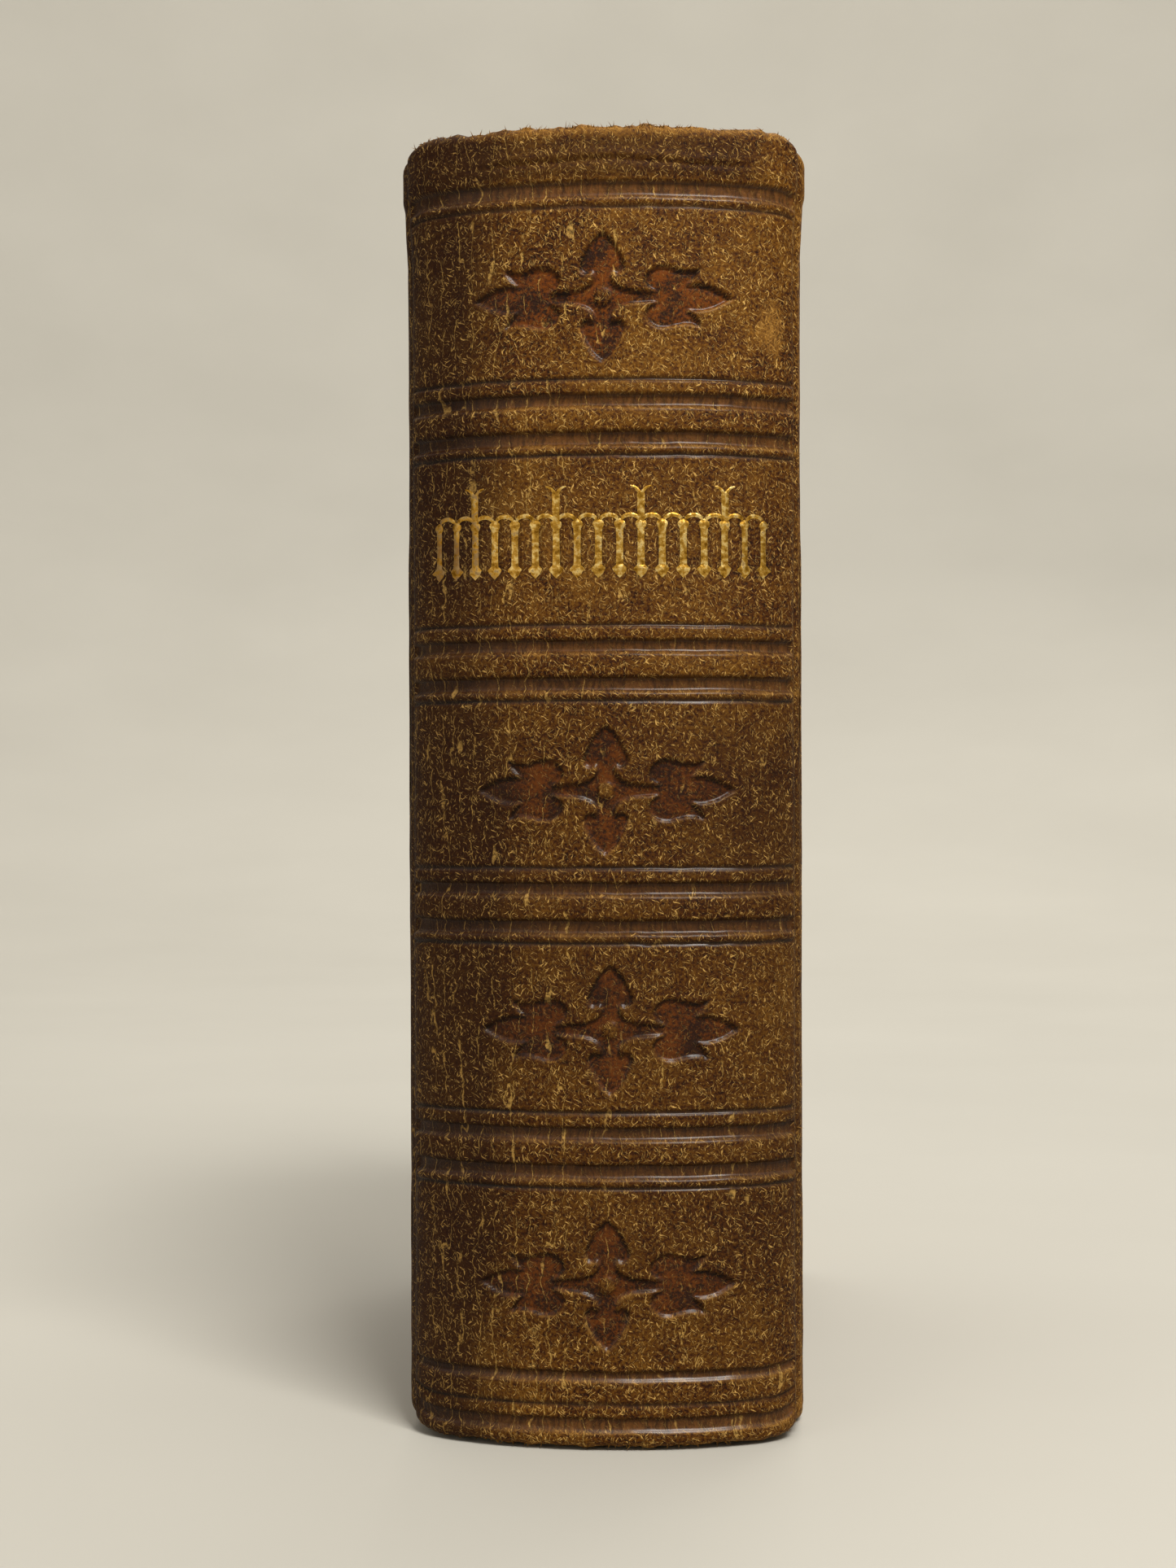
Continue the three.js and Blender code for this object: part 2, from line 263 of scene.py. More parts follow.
def calfLook(add):
    # half-glazed worn calf: satin where it is whole or burnished, matt and pale where it is rubbed
    flat = add("Attribute", out="Vector", attribute_name="flatMm")
    tool, stamp, wearAndHighlight, cracked, grimeAndShade, burnAndShade, polish = [
        add("Attribute", out="Fac", attribute_name=key)
        for key in ("tool", "stamp", "wearAndHighlight", "crack", "grimeAndShade", "burnAndShade", "polish")
    ]
    sway = add("TexNoise", {"Vector": flat, "Scale": 0.8, "Detail": 3.0}, out="Color")
    bent = add("VectorMath", [sway, (0.9, 0.5, 0.0), flat], operation="MULTIPLY_ADD")

    # fibres: the highest of four fine noises, each stretched its own way
    fibre = 0.0
    for lean in leather["fibreLean"]:
        sizes = leather["fibreSize"] + (1.0,)
        laid = {"Vector": bent, "Rotation": (0, 0, lean), "Scale": sizes}
        laid = add("Mapping", laid, vector_type="TEXTURE")
        strand = add("TexNoise", {"Vector": laid, "Scale": 1.0, "Detail": 2.0, "Roughness": 0.6})
        fibre = add("Math", [fibre, strand], operation="MAXIMUM")
    strands = add("MapRange", [fibre, 0.615, 0.69], interpolation_type="SMOOTHSTEP")

    # ground: slow clouds, patches and fine grain, added up into one tone
    cloud = add("TexNoise", {"Vector": flat, "Scale": 0.08, "Detail": 4.0})
    patch = add("TexNoise", {"Vector": flat, "Scale": 0.4, "Detail": 5.0, "Roughness": 0.6})
    grain = add("TexNoise", {"Vector": flat, "Scale": 3.2, "Detail": 5.0, "Roughness": 0.7})
    tone = add("Math", [patch, 0.2], operation="MULTIPLY")
    tone = add("Math", [grain, 0.6, tone], operation="MULTIPLY_ADD")
    tone = add("Math", [cloud, 0.2, tone], operation="MULTIPLY_ADD")
    tones = [leather[key] for key in ("deep", "low", "middle", "high")]
    colour = add("ValToRGB", [tone], stops=list(zip((0.41, 0.46, 0.525, 0.62), tones)))
    fibred = add("MapRange", [patch, 0.36, 0.6, 0.6, 1.0])
    fibred = add("Math", [fibred, strands], operation="MULTIPLY")
    colour = add("Mix", {0: fibred, 6: colour, 7: leather["fibre"]}, **colourMix)

    # tooled bands and stamps are pressed smooth and dark, with a little of the fibre left
    streak = add("Mapping", {"Vector": bent, "Scale": (0.3, 1.6, 1.0)}, vector_type="TEXTURE")
    streak = add("TexNoise", {"Vector": streak, "Scale": 1.0, "Detail": 3.0, "Roughness": 0.6})
    steps = [(0.38, leather["pressed"]), (0.62, leather["pressedLight"])]
    pressed = add("ValToRGB", [streak], stops=steps)
    share = add("Math", [tool, 0.84], operation="MULTIPLY")
    colour = add("Mix", {0: share, 6: colour, 7: pressed}, **colourMix)
    steps = [(0.45, leather["stamped"]), (0.57, leather["stampedLight"])]
    inside = add("Math", [grain, patch], operation="ADD")
    inside = add("Math", [inside, 0.5], operation="MULTIPLY")
    inside = add("ValToRGB", [inside], stops=steps)
    share = add("MapRange", [fibre, 0.58, 0.72, 0.93, 0.7])
    share = add("Math", [stamp, share], operation="MULTIPLY")
    colour = add("Mix", {0: share, 6: colour, 7: inside}, **colourMix)

    # rubbed places, more where the fibres stand up; the same pale tan paints the highlights along the
    # lower edges of the tooling
    rubbed = add("Math", [patch, 0.8, wearAndHighlight], operation="MULTIPLY_ADD")
    rubbed = add("MapRange", [rubbed, 0.62, 1.1], interpolation_type="SMOOTHSTEP")
    raised = add("MapRange", [fibre, 0.54, 0.68, 0.1, 1.0])
    rubbed = add("Math", [rubbed, raised], operation="MULTIPLY")
    colour = add("Mix", {0: rubbed, 6: colour, 7: leather["worn"]}, **colourMix)

    # long cracks: the crests of widely swayed waves, kept only here and there
    laid = add("Mapping", {"Vector": bent, "Scale": (1.0, 4.5, 1.0)}, vector_type="TEXTURE")
    waves = {"Vector": laid, "Scale": 0.314 / leather["crackApart"], "Distortion": 8.0, "Detail": 2.0,
             "Detail Scale": 2.6, "Detail Roughness": 0.55}
    line = add("TexWave", waves, out="Fac", wave_type="BANDS", bands_direction="X")
    line = add("MapRange", [line, 0.98, 0.996], interpolation_type="SMOOTHSTEP")
    where = add("TexNoise", {"Vector": flat, "Scale": 0.42, "Detail": 3.0})
    where = add("Math", [where, cracked], operation="ADD")
    where = add("MapRange", [where, 0.52, 0.64], interpolation_type="SMOOTHSTEP")
    line = add("Math", [line, where], operation="MULTIPLY")
    share = add("MapRange", [grain, 0.42, 0.56, 0.15, 0.8])
    share = add("Math", [line, share], operation="MULTIPLY")
    colour = add("Mix", {0: share, 6: colour, 7: leather["crack"]}, **colourMix)
    # grime and painted shade darken the ground between the fibres and beside the cracks
    clean = add("Math", [strands, line], operation="MAXIMUM")
    clean = add("Math", [clean, -0.52, 1.07], operation="MULTIPLY_ADD")
    grimedAndShaded = add("Math", [grimeAndShade, clean], operation="MULTIPLY")
    colour = add("Mix", {0: grimedAndShaded, 6: colour, 7: leather["grimeAndShade"]}, **colourMix)
    # near black: scorched tool edges, and painted shade under the upper edges of the tooling
    colour = add("Mix", {0: burnAndShade, 6: colour, 7: leather["burntAndShade"]}, **colourMix)

    dull = leather["roughness"]
    rough = add("MapRange", [grain, 0.3, 0.7, dull - 0.07, dull + 0.09])
    rough = add("Math", [rubbed, 0.25, rough], operation="MULTIPLY_ADD")
    rough = add("Math", [tool, -0.16, rough], operation="MULTIPLY_ADD")
    height = add("Math", [strands, 0.5, grain], operation="MULTIPLY_ADD")
    height = add("Math", [line, -0.8, height], operation="MULTIPLY_ADD")
    bump = add("Bump", {"Height": height, "Distance": 0.00009})
    # the hot tools burnish what they press, so light catches on the lower slope of each mark
    gloss = add("Math", [stamp, 0.08], operation="MULTIPLY")
    gloss = add("Math", [tool, 0.16, gloss], operation="MULTIPLY_ADD")
    gloss = add("Math", [polish, 0.6, gloss], operation="MULTIPLY_ADD")
    return {"Base Color": colour, "Roughness": rough, "Normal": bump, "Specular IOR Level": 0.1,
            "Coat Weight": gloss, "Coat Roughness": 0.26}


calf = newMaterial("worn_glazed_calf", calfLook)

# the tooling pressed into the spine

tooling = {
    "pairMiddles": (93.6, 71.35, 49.35, 27.2),  # each group: line, band, raised strip, band, line
    "groupTop": 3.43,
    "bandAt": ((1.35, 2.6), (4.75, 6.1)),       # below the group's top line
    "lineAt": (0.0, 6.85),
    "headBand": (113.4, 114.9),
    "tailBands": ((6.25, 7.15), (1.65, 2.95)),
    "singleLines": (112.65, 4.2),
    "bandDepth": 0.4,
    "lineDepth": 0.26,
    "lineHalfWidth": 0.17,
    "stripRise": 0.16,
    "endsAt": 17.7,                             # mm from the middle, where the tools stop at the joint
}

fleuron = {
    "middles": (104.45, 59.8, 38.1, 15.0),
    "nudge": (0.42, 0.6, 0.95, 0.6),            # mm that each was struck off the middle
    "depth": 0.3,
    "softness": 0.14,
    "stretch": 1.05,
    "bossRadius": 0.84,
    # one quarter of the outline, tip of the upper petal to tip of the side leaf, curve by curve
    "curves": (
        ((0, 5.6), (0.85, 4.86), (1.42, 3.94), (1.84, 3.05), (1.95, 2.5), (1.68, 2.07), (1.2, 1.98),
         (0.86, 2.22)),
        ((0.86, 2.22), (0.8, 1.6), (1.12, 1.08), (1.8, 0.74), (2.7, 0.55), (4.7, 0.44)),
        ((4.7, 0.44), (3.95, 0.86), (3.72, 1.4), (3.92, 2.05), (4.6, 2.55), (5.5, 2.66), (6.5, 2.42),
         (7.5, 2.3), (8.65, 2.56)),
        ((8.65, 2.56), (8.3, 1.95), (7.85, 1.4), (7.45, 1.12)),
        ((7.45, 1.12), (8.5, 1.16), (9.75, 0.86), (10.75, 0.36), (11.4, 0.0)),
    ),
}


frieze = {
    "foot": 79.8,
    "head": 83.9,
    "spireTop": 86.7,
    "pitch": 1.93,
    "bays": 16,
    "shaft": 0.72,
    "hairline": 0.24,
    "footSize": (1.6, 1.5),         # width and height of the lozenges, mm
    "headSize": (1.45, 1.3),
    "ridge": 0.11,                  # how far the middle of each stroke stands above its edges
    "above": 0.02,
}


headRoll = {
    "creaseAt": 17.95,              # mm from the middle, at each joint
    "creaseDepth": 0.3,
    "swell": 0.16,
    "earSwell": 0.4,                # towards the joints
    "foldAt": 116.7,
    "foldDepth": 0.16,
}

wearing = {
    "patch": (16.4, 102.0),         # a place rubbed pale beside the joint
    "patchSize": (2.0, 3.4),
    "patchWear": 0.85,
    "headWear": 0.6,
    "footWear": 0.5,
    "jointWear": 0.55,
    "lowerAndRollDarkening": 0.43,             # darker over the lower half and on the head roll
    "backGrimeAndShade": 0.64,              # and on the side towards the back cover, part grime and part painted shade where the spine turns from the light
}


def smoothCurve(points, steps=7):
    # a Catmull-Rom curve through the points
    p = np.array(points, float)
    p = np.vstack([2 * p[0] - p[1], p, 2 * p[-1] - p[-2]])
    t = np.linspace(0, 1, steps, endpoint=False)[:, None]
    out = []
    for a, b, c, d in zip(p[:-3], p[1:-2], p[2:-1], p[3:]):
        square, cube = 2 * a - 5 * b + 4 * c - d, 3 * b - a - 3 * c + d
        out.append(0.5 * (2 * b + (c - a) * t + square * t ** 2 + cube * t ** 3))
    return np.vstack(out + [p[-2:-1]])


fleuronOutline = np.vstack([smoothCurve(curve) for curve in fleuron["curves"]])


def insideFleuron(x, z):
    # signed distance to the fleuron's outline, positive inside; the four quarters are alike
    p = np.stack([np.abs(x), np.abs(z)], -1)
    nearest = np.full(p.shape[:-1], 1e9)
    crossings = np.zeros(p.shape[:-1], int)
    closed = np.vstack([fleuronOutline, [[0, 0]], fleuronOutline[:1]])
    for k, (a, b) in enumerate(zip(closed[:-1], closed[1:])):
        if np.allclose(a, b):
            continue
        if k < len(fleuronOutline) - 1:
            along = np.clip(((p - a) @ (b - a)) / ((b - a) @ (b - a)), 0, 1)
            nearest = np.minimum(nearest, np.linalg.norm(p - (a + along[..., None] * (b - a)), axis=-1))
        if a[1] != b[1]:
            spans = (a[1] > p[..., 1]) != (b[1] > p[..., 1])
            at = a[0] + (p[..., 1] - a[1]) / (b[1] - a[1]) * (b[0] - a[0])
            crossings += spans & (p[..., 0] < at)
    return np.where(crossings % 2 == 1, nearest, -nearest)


def trough(z, low, high):
    # 1 between low and high; a gentle slope at the foot and a steep one at the top
    foot = smoothStep(z, low - 0.12, low + 0.38)
    return foot * (1 - smoothStep(z, high - 0.1, high + 0.1))


def spineRelief(s, z):
    # how far the leather stands out from the plain curve, and the shares its material reads
    x = spineCurve(s)[0][..., 0]
    wave = z + 0.1 * valueNoise(s, z * 0 + 3, 5.0, 11) + 0.05 * valueNoise(s, z, 1.5, 12)
    relief = 0.07 * valueNoise(s, z, 11.0, 1) + 0.035 * valueNoise(s, z, 3.2, 2)
    relief = relief + 0.012 * valueNoise(s, z, 0.9, 3)
    pressed, lines, raised, burnAndShade, foot, polish = 0 * z, 0 * z, 0 * z, 0 * z, 0 * z, 0 * z
    bands = [tooling["headBand"], *tooling["tailBands"]]
    for middle in tooling["pairMiddles"]:
        top = middle + tooling["groupTop"]
        for near, far in tooling["bandAt"]:
            bands.append((top - far, top - near))
        for drop in tooling["lineAt"]:
            lines = np.maximum(lines, bell(wave, top - drop, tooling["lineHalfWidth"]))
            polish = np.maximum(polish, 0.8 * bell(wave, top - drop - 0.14, 0.12))
        (a, b), (c, d) = tooling["bandAt"]
        strips = ((c, b, 1.0), (a, 0.0, 0.6), (tooling["lineAt"][1], d, 0.6))
        for low, high, rise in strips:
            bulge = 1 - ((wave - top + (low + high) / 2) / ((low - high) / 2)) ** 2
            raised = np.maximum(raised, rise * np.sqrt(np.clip(bulge, 0, 1)))
    for low, high in bands:
        # darkened under the tool's upper edge, partly scorch and partly painted shade; along its lower one
        # a painted highlight, and polish
        pressed = np.maximum(pressed, trough(wave, low, high))
        burnAndShade = np.maximum(burnAndShade, bell(wave, high - 0.04, 0.15))
        foot = np.maximum(foot, bell(wave, low, 0.2))
        polish = np.maximum(polish, bell(wave, low + 0.12, 0.22))
    for place in tooling["singleLines"]:
        lines = np.maximum(lines, bell(wave, place, tooling["lineHalfWidth"]))
    ends = 1 - smoothStep(np.abs(x), tooling["endsAt"] - 0.25, tooling["endsAt"] + 0.05)
    burnAndShade = np.maximum(0.75 * burnAndShade, 0.85 * lines)
    pressed, lines, raised, burnAndShade, polish = [part * ends for part in (pressed, lines, raised, burnAndShade, polish)]
    relief += tooling["stripRise"] * raised - tooling["bandDepth"] * pressed - tooling["lineDepth"] * lines

    stamped, wearAndHighlight = 0 * z, 0 * z
    for middle, nudge in zip(fleuron["middles"], fleuron["nudge"]):
        near = np.abs(z - middle) < 8
        distance = np.full(z.shape, -9.0)
        distance[near] = insideFleuron((s - nudge)[near] / fleuron["stretch"],
                                       (z - middle)[near] / fleuron["stretch"])
        inner = smoothStep(distance, -0.05, fleuron["softness"])
        inner = inner + 0.3 * bell(distance, 0.2, 0.16) * (distance > -0.2)
        lowerEdge = np.gradient(distance, axis=0) > 0
        # painted highlight: pale along the fleuron's lower edges, added to the wear further down
        foot = np.maximum(foot, 1.1 * bell(distance, -0.1, 0.17) * lowerEdge)
        polish = np.maximum(polish, 0.8 * bell(distance, 0.08, 0.16) * lowerEdge)
        fromBoss = np.hypot(s - nudge, z - middle)
        dome = np.clip(1 - (fromBoss / fleuron["bossRadius"]) ** 2, 0, 1)
        boss = np.minimum(dome * 2.2, 1)
        relief += 0.05 * bell(distance, -0.35, 0.3) - fleuron["depth"] * inner + 0.3 * boss
        stamped = np.maximum(stamped, np.clip(inner, 0, 1) * (1 - boss))
        # painted shade: a dark line along the fleuron's upper edges, faint along its lower ones
        burnAndShade = np.maximum(burnAndShade, bell(distance, 0.08, 0.12) * np.where(lowerEdge, 0.1, 0.95))
        burnAndShade = burnAndShade * (1 - dome) + 0.3 * bell(fromBoss, 0, 0.2)
        wearAndHighlight = np.maximum(wearAndHighlight, 0.45 * boss)

    # each gilt column lies in its own dent
    apart = np.abs((s / frieze["pitch"] + 0.5) % 1 - 0.5) * frieze["pitch"]
    dent = np.exp(-(apart / 0.5) ** 4) * trough(z, frieze["foot"] - 0.4, frieze["head"] + 0.3)
    for place in (frieze["foot"], frieze["head"]):
        dent = np.maximum(dent, smoothStep(1.35 - apart / 0.75 - np.abs(z - place) / 0.7, 0, 0.5))
    dent = dent * (np.abs(s) < (frieze["bays"] / 2 + 0.4) * frieze["pitch"])
    relief -= 0.12 * dent
    # the dents are darkened too, partly scorch and partly painted shade
    burnAndShade = np.maximum(burnAndShade, 0.55 * dent)

    # the crease along each joint, the swell of the head roll and its wandering fold
    fromMiddle = np.abs(x)
    relief -= headRoll["creaseDepth"] * bell(fromMiddle, headRoll["creaseAt"], 0.2)
    relief += headRoll["swell"] * smoothStep(z, 114.9, 116.2)
    relief += headRoll["earSwell"] * smoothStep(z, 104, 119) * smoothStep(fromMiddle, 9, 18)
    fold = headRoll["foldAt"] + 0.35 * valueNoise(s, 0 * z, 6.0, 21) + 0.12 * valueNoise(s, 0 * z, 1.7, 22)
    foldShare = smoothStep(s, -13, -8) * (1 - smoothStep(s, 11, 16))
    relief += foldShare * (0.1 * bell(z, fold + 0.55, 0.35) - headRoll["foldDepth"] * bell(z, fold, 0.22))

    tool = np.clip(pressed + 0.9 * lines, 0, 1)
    wearAndHighlight += wearing["headWear"] * smoothStep(z, 118.3, 119.8) + 0.1 * smoothStep(z, 114.9, 116)
    wearAndHighlight += wearing["footWear"] * smoothStep(-z, -1.2, 0) + 0.1 * (1 - smoothStep(z, 3, 26))
    wearAndHighlight += wearing["jointWear"] * smoothStep(fromMiddle, 17.85, 18.3) + 0.25 * raised * (1 - tool) - 0.1
    (sPatch, zPatch), (wide, tall) = wearing["patch"], wearing["patchSize"]
    # the painted highlights along the lower edges of bands and fleurons go in with the wear
    wearAndHighlight += wearing["patchWear"] * bell(s, sPatch, wide) * bell(z, zPatch, tall) + 0.6 * foot
    wearAndHighlight -= 0.18 * smoothStep(-s, 4, 15)
    crack = 0.14 * smoothStep(-s, -6, 12) + 0.07 * tool + 0.05 * smoothStep(-z, -60, -10) - 0.04
    # towards the back cover: painted shade where the spine turns from the light, with some grime
    grimeAndShade = wearing["backGrimeAndShade"] + 0.14 * smoothStep(z, 60, 100) + 0.15 * valueNoise(s, z, 9.0, 51)
    grimeAndShade = grimeAndShade * smoothStep(-s, 5.5, 14.5)
    extraZone = smoothStep(z, -6, 22) * (1 - 0.7 * smoothStep(z, 62, 74)) * (1 - smoothStep(z, 88, 98))
    roll = smoothStep(z, 114.8, 115.8) * (1 - smoothStep(z, 118.4, 119.6)) * (1 - smoothStep(s, 12, 17))
    uneven = 1 + 0.35 * valueNoise(s, z, 14.0, 54) + 0.25 * smoothStep(s, 6, 16)
    grimeAndShade += wearing["lowerAndRollDarkening"] * (extraZone + 0.95 * roll) * uneven
    return relief, {
        "tool": tool, "stamp": stamped, "wearAndHighlight": wearAndHighlight, "crack": crack, "grimeAndShade": np.clip(grimeAndShade, 0, 0.8),
        "burnAndShade": burnAndShade * (0.75 + 0.25 * valueNoise(s, z, 1.1, 53)),
        "polish": polish * (0.7 + 0.3 * valueNoise(s, z, 1.9, 55)),
    }


def flatPlace(s, z):
    return np.stack([s, z, 0 * z], -1)


def acrossPath(path):
    # the level direction square to a path, at each of its points
    along = np.gradient(path, axis=0)
    along /= np.linalg.norm(along, axis=1)[:, None]
    return np.stack([along[:, 1], -along[:, 0]], -1)


# the spine's leather, one piece from joint to joint, folded over at head and tail

spineSkin = {"fine": 0.2, "band": 0.16, "coarse": 0.6, "capRadius": 1.0, "tuck": 0.55}


def spineSpacing(z):
    spacing = np.full_like(z, spineSkin["coarse"])
    for middle in tooling["pairMiddles"]:
        spacing = np.where(np.abs(z - middle) < 4.0, spineSkin["band"], spacing)
    spacing = np.where((z > 112) | (z < 7.8), spineSkin["band"] + 0.04, spacing)
    for middle in fleuron["middles"]:
        spacing = np.where(np.abs(z - middle) < 6.1, spineSkin["fine"], spacing)
    return spacing


def columnSpacing(s):
    return np.where(np.abs(s - 0.6) < 12.2, 0.2, np.where(np.abs(s) > 17.5, 0.3, 0.6))


def headCorner(x, z):
    # the leather's corners are rounded off towards the joints, at head and tail
    head = np.clip((np.abs(x) - 16.0) / 2.5, 0, 1)
    tail = np.clip((np.abs(x) - 15.4) / 3.1, 0, 1)
    drop = 2.3 * (1 - np.sqrt(1 - head ** 2)) * smoothStep(z, 106, 119.5)
    lift = 2.6 * (1 - np.sqrt(1 - tail ** 2)) * (1 - smoothStep(z, 0.5, 12))
    return lift - drop


s = gradedSteps(-halfArc - spineSkin["tuck"], halfArc + spineSkin["tuck"], columnSpacing)
r = spineSkin["capRadius"]
zFace = gradedSteps(r, book["height"] - r, spineSpacing)
turn = np.linspace(0, math.pi / 2, 8)[1:]
# the cap's profile above the face: a quarter round, in over the edge, and down behind it
capInset = np.concatenate([r * (1 - np.cos(turn)), [1.35, 1.7, 2.0, 2.18, 2.25, 2.25, 2.25]])
capUp = np.concatenate([r * np.sin(turn), [r, r, r - 0.05, r - 0.18, r - 0.4, r - 1.0, r - 2.2]])
capOut = np.concatenate([np.cos(turn), np.zeros(7)])
capZ = np.concatenate([np.sin(turn), np.ones(7)])
zRow = np.concatenate([(r - capUp)[::-1], zFace, book["height"] - r + capUp])
insetRow = np.concatenate([capInset[::-1], 0 * zFace, capInset])
outRow = np.concatenate([capOut[::-1], 0 * zFace + 1, capOut])
upRow = np.concatenate([-capZ[::-1], 0 * zFace, capZ])
# the fold's length keeps the pattern from smearing where the leather turns in
lengthRow = np.concatenate([[0], np.cumsum(np.hypot(np.diff(zRow), np.diff(insetRow)))])
lengthRow += zFace[0] - lengthRow[len(capInset)]

sGrid, zGrid = np.meshgrid(s, zRow)
relief, shares = spineRelief(sGrid, np.clip(zGrid, 0.2, 119.8))
curve, outward = spineCurve(sGrid)
ragged = 0.16 * valueNoise(sGrid, 0 * sGrid, 2.3, 31) + 0.13 * valueNoise(sGrid, 0 * sGrid, 0.7, 32)
ragged = ragged + 0.08 * valueNoise(sGrid, 0 * sGrid, 0.4, 33)
atEnds = (insetRow > 0)[:, None]
standOut = relief * outRow[:, None] - insetRow[:, None]
standOut = standOut - 0.35 * smoothStep(np.abs(sGrid), halfArc + 0.05, halfArc + 0.4)
points = np.zeros(sGrid.shape + (3,))
points[..., :2] = curve + standOut[..., None] * outward
zPoint = zGrid + headCorner(curve[..., 0], zGrid) + upRow[:, None] * (ragged + 0.25 * relief) * atEnds
# its ragged foot only touches the floor
points[..., 2] = zPoint + 0.42 * (1 - smoothStep(zPoint, -0.4, 1.4))
flat = flatPlace(sGrid, np.broadcast_to(lengthRow[:, None], sGrid.shape))
spine = addPiece("spine_leather", [{"points": points, "values": {"flatMm": flat, **shares}}], calf)
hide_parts("front_spine_leather", "back_spine_leather")
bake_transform(spine)
print("spine leather:", len(spine.data.polygons), "faces")

# the frayed fibre ends along the head, the tail and the front joint

fray = {"count": 520, "longest": 0.62, "shortest": 0.15, "width": 0.15, "seed": 71}


def frayedFibres(name):
    # each fibre is a tapered three-sided tube: root + out * t + bend * t squared, for t from 0 to 1
    random = np.random.default_rng(fray["seed"])
    count, rows, columns = fray["count"], points.shape[0], points.shape[1]
    where = random.uniform(0, 1, count)
    headRow, tailRow = rows - len(capInset) + 3, len(capInset) - 4
    row = np.where(where < 0.55, headRow, tailRow)
    column = random.integers(6, columns - 6, count)
    beside = where > 0.8
    row = np.where(beside, random.integers(len(capInset), rows - len(capInset), count), row)
    column = np.where(beside, columns - 7, column)
    root = points[row, column]
    upward = np.where(beside, 0.0, np.where(row == headRow, 1.0, -0.2))
    face = spineCurve(sGrid[row, column])[1]
    away = np.stack([face[:, 0], face[:, 1], 0 * where], -1) * np.where(beside, 1.0, 0.5)[:, None]
    away = away + upward[:, None] * np.array([0, 0, 0.8]) + random.normal(0, 0.8, (count, 3))
    away /= np.linalg.norm(away, axis=1)[:, None]
    length = random.uniform(fray["shortest"], fray["longest"], count) ** 1.3
    bend = random.normal(0, 0.45, (count, 3)) * length[:, None]
    side = np.cross(away, random.normal(0, 1, (count, 3)))
    side /= np.linalg.norm(side, axis=1)[:, None]
    third = np.cross(away, side)
    grids = []
    t = np.linspace(0, 1, 6)[:, None, None]
    turn = np.radians([0, 120, 240])[None, :, None]
    for k in range(count):
        spot = root[k] - 0.1 * away[k] + away[k] * length[k] * t + bend[k] * t ** 2
        ring = side[k] * np.cos(turn) + third[k] * np.sin(turn)
        hair = spot + ring * fray["width"] / 2 * np.minimum(1 - t, 6 * t)
        hair[..., 2] += max(0.02 - hair[..., 2].min(), 0)    # none reaches below the book's foot
        values = {"flatMm": hair[..., [0, 2, 1]], "wearAndHighlight": 0.75}
        grids.append({"points": hair, "closed": True, "values": values})
    return addPiece(name, grids, calf, weld=0.0005)


fringe = frayedFibres("frayed_fibres")
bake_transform(fringe)
print("frayed fibres:", fray["count"])

# a gilt frieze of crossing arches where a title would stand; it spells nothing


def goldLook(add):
    # gold leaf laid on glair and struck with a warm tool: bright metal, rubbed through to the calf
    flat = add("Attribute", out="Vector", attribute_name="flatMm")
    grain = add("TexNoise", {"Vector": flat, "Scale": 1.7, "Detail": 4.0, "Roughness": 0.6})
    slow = add("TexNoise", {"Vector": flat, "Scale": 0.35, "Detail": 2.0})
    across = add("SeparateXYZ", [flat])
    extraZone = add("MapRange", [across, -15.0, -7.0, 0.22, 0.0])
    gone = add("Math", [slow, 0.5, grain], operation="MULTIPLY_ADD")
    gone = add("Math", [gone, extraZone], operation="ADD")
    gone = add("MapRange", [gone, 0.84, 0.98, 0.0, 0.85], interpolation_type="SMOOTHSTEP")
    # the leaf's darker tones are painted reflection, the darker surroundings that gold would mirror
    leaf = add("ValToRGB", [grain], stops=[(0.34, "#7d5513"), (0.5, "#c0923c"), (0.62, "#f0d186")])
    colour = add("Mix", {0: gone, 6: leaf, 7: leather["middle"]}, **colourMix)
    metal = add("Math", [1.0, gone], operation="SUBTRACT")
    bump = add("Bump", {"Height": grain, "Distance": 0.00008})
    return {"Base Color": colour, "Metallic": metal, "Roughness": 0.38, "Normal": bump}


gold = newMaterial("tooled_gold_leaf", goldLook)


def onSpine(sArray, zArray, above):
    curve, outward = spineCurve(sArray)
    out = spineRelief(sArray, zArray)[0] + above
    place = np.zeros(sArray.shape + (3,))
    place[..., :2] = curve + out[..., None] * outward
    place[..., 2] = zArray
    return place


def stroke(path, widths, across=5):
    # a stroke along a path on the spine, as wide as widths says at each point, with a low ridge
    t = np.linspace(-0.5, 0.5, across)[None, :, None]
    widths = widths[:, None]
    flatPoints = path[:, None] + acrossPath(path)[:, None] * widths[..., None] * t
    sPart, zPart = flatPoints[..., 0], flatPoints[..., 1]
    ridge = frieze["ridge"] * (1 - 2 * np.abs(t[..., 0])) * np.minimum(widths, 1)
    place = onSpine(sPart, zPart, frieze["above"] + ridge)
    return {"points": place, "values": {"flatMm": flatPlace(sPart, zPart)}}


def lozenge(sMiddle, zMiddle, width, height):
    t = np.linspace(-1, 1, 9)
    path = np.stack([0 * t + sMiddle, zMiddle + t * height / 2], -1)
    return stroke(path, np.maximum(width * (1 - np.abs(t)), 0.02))


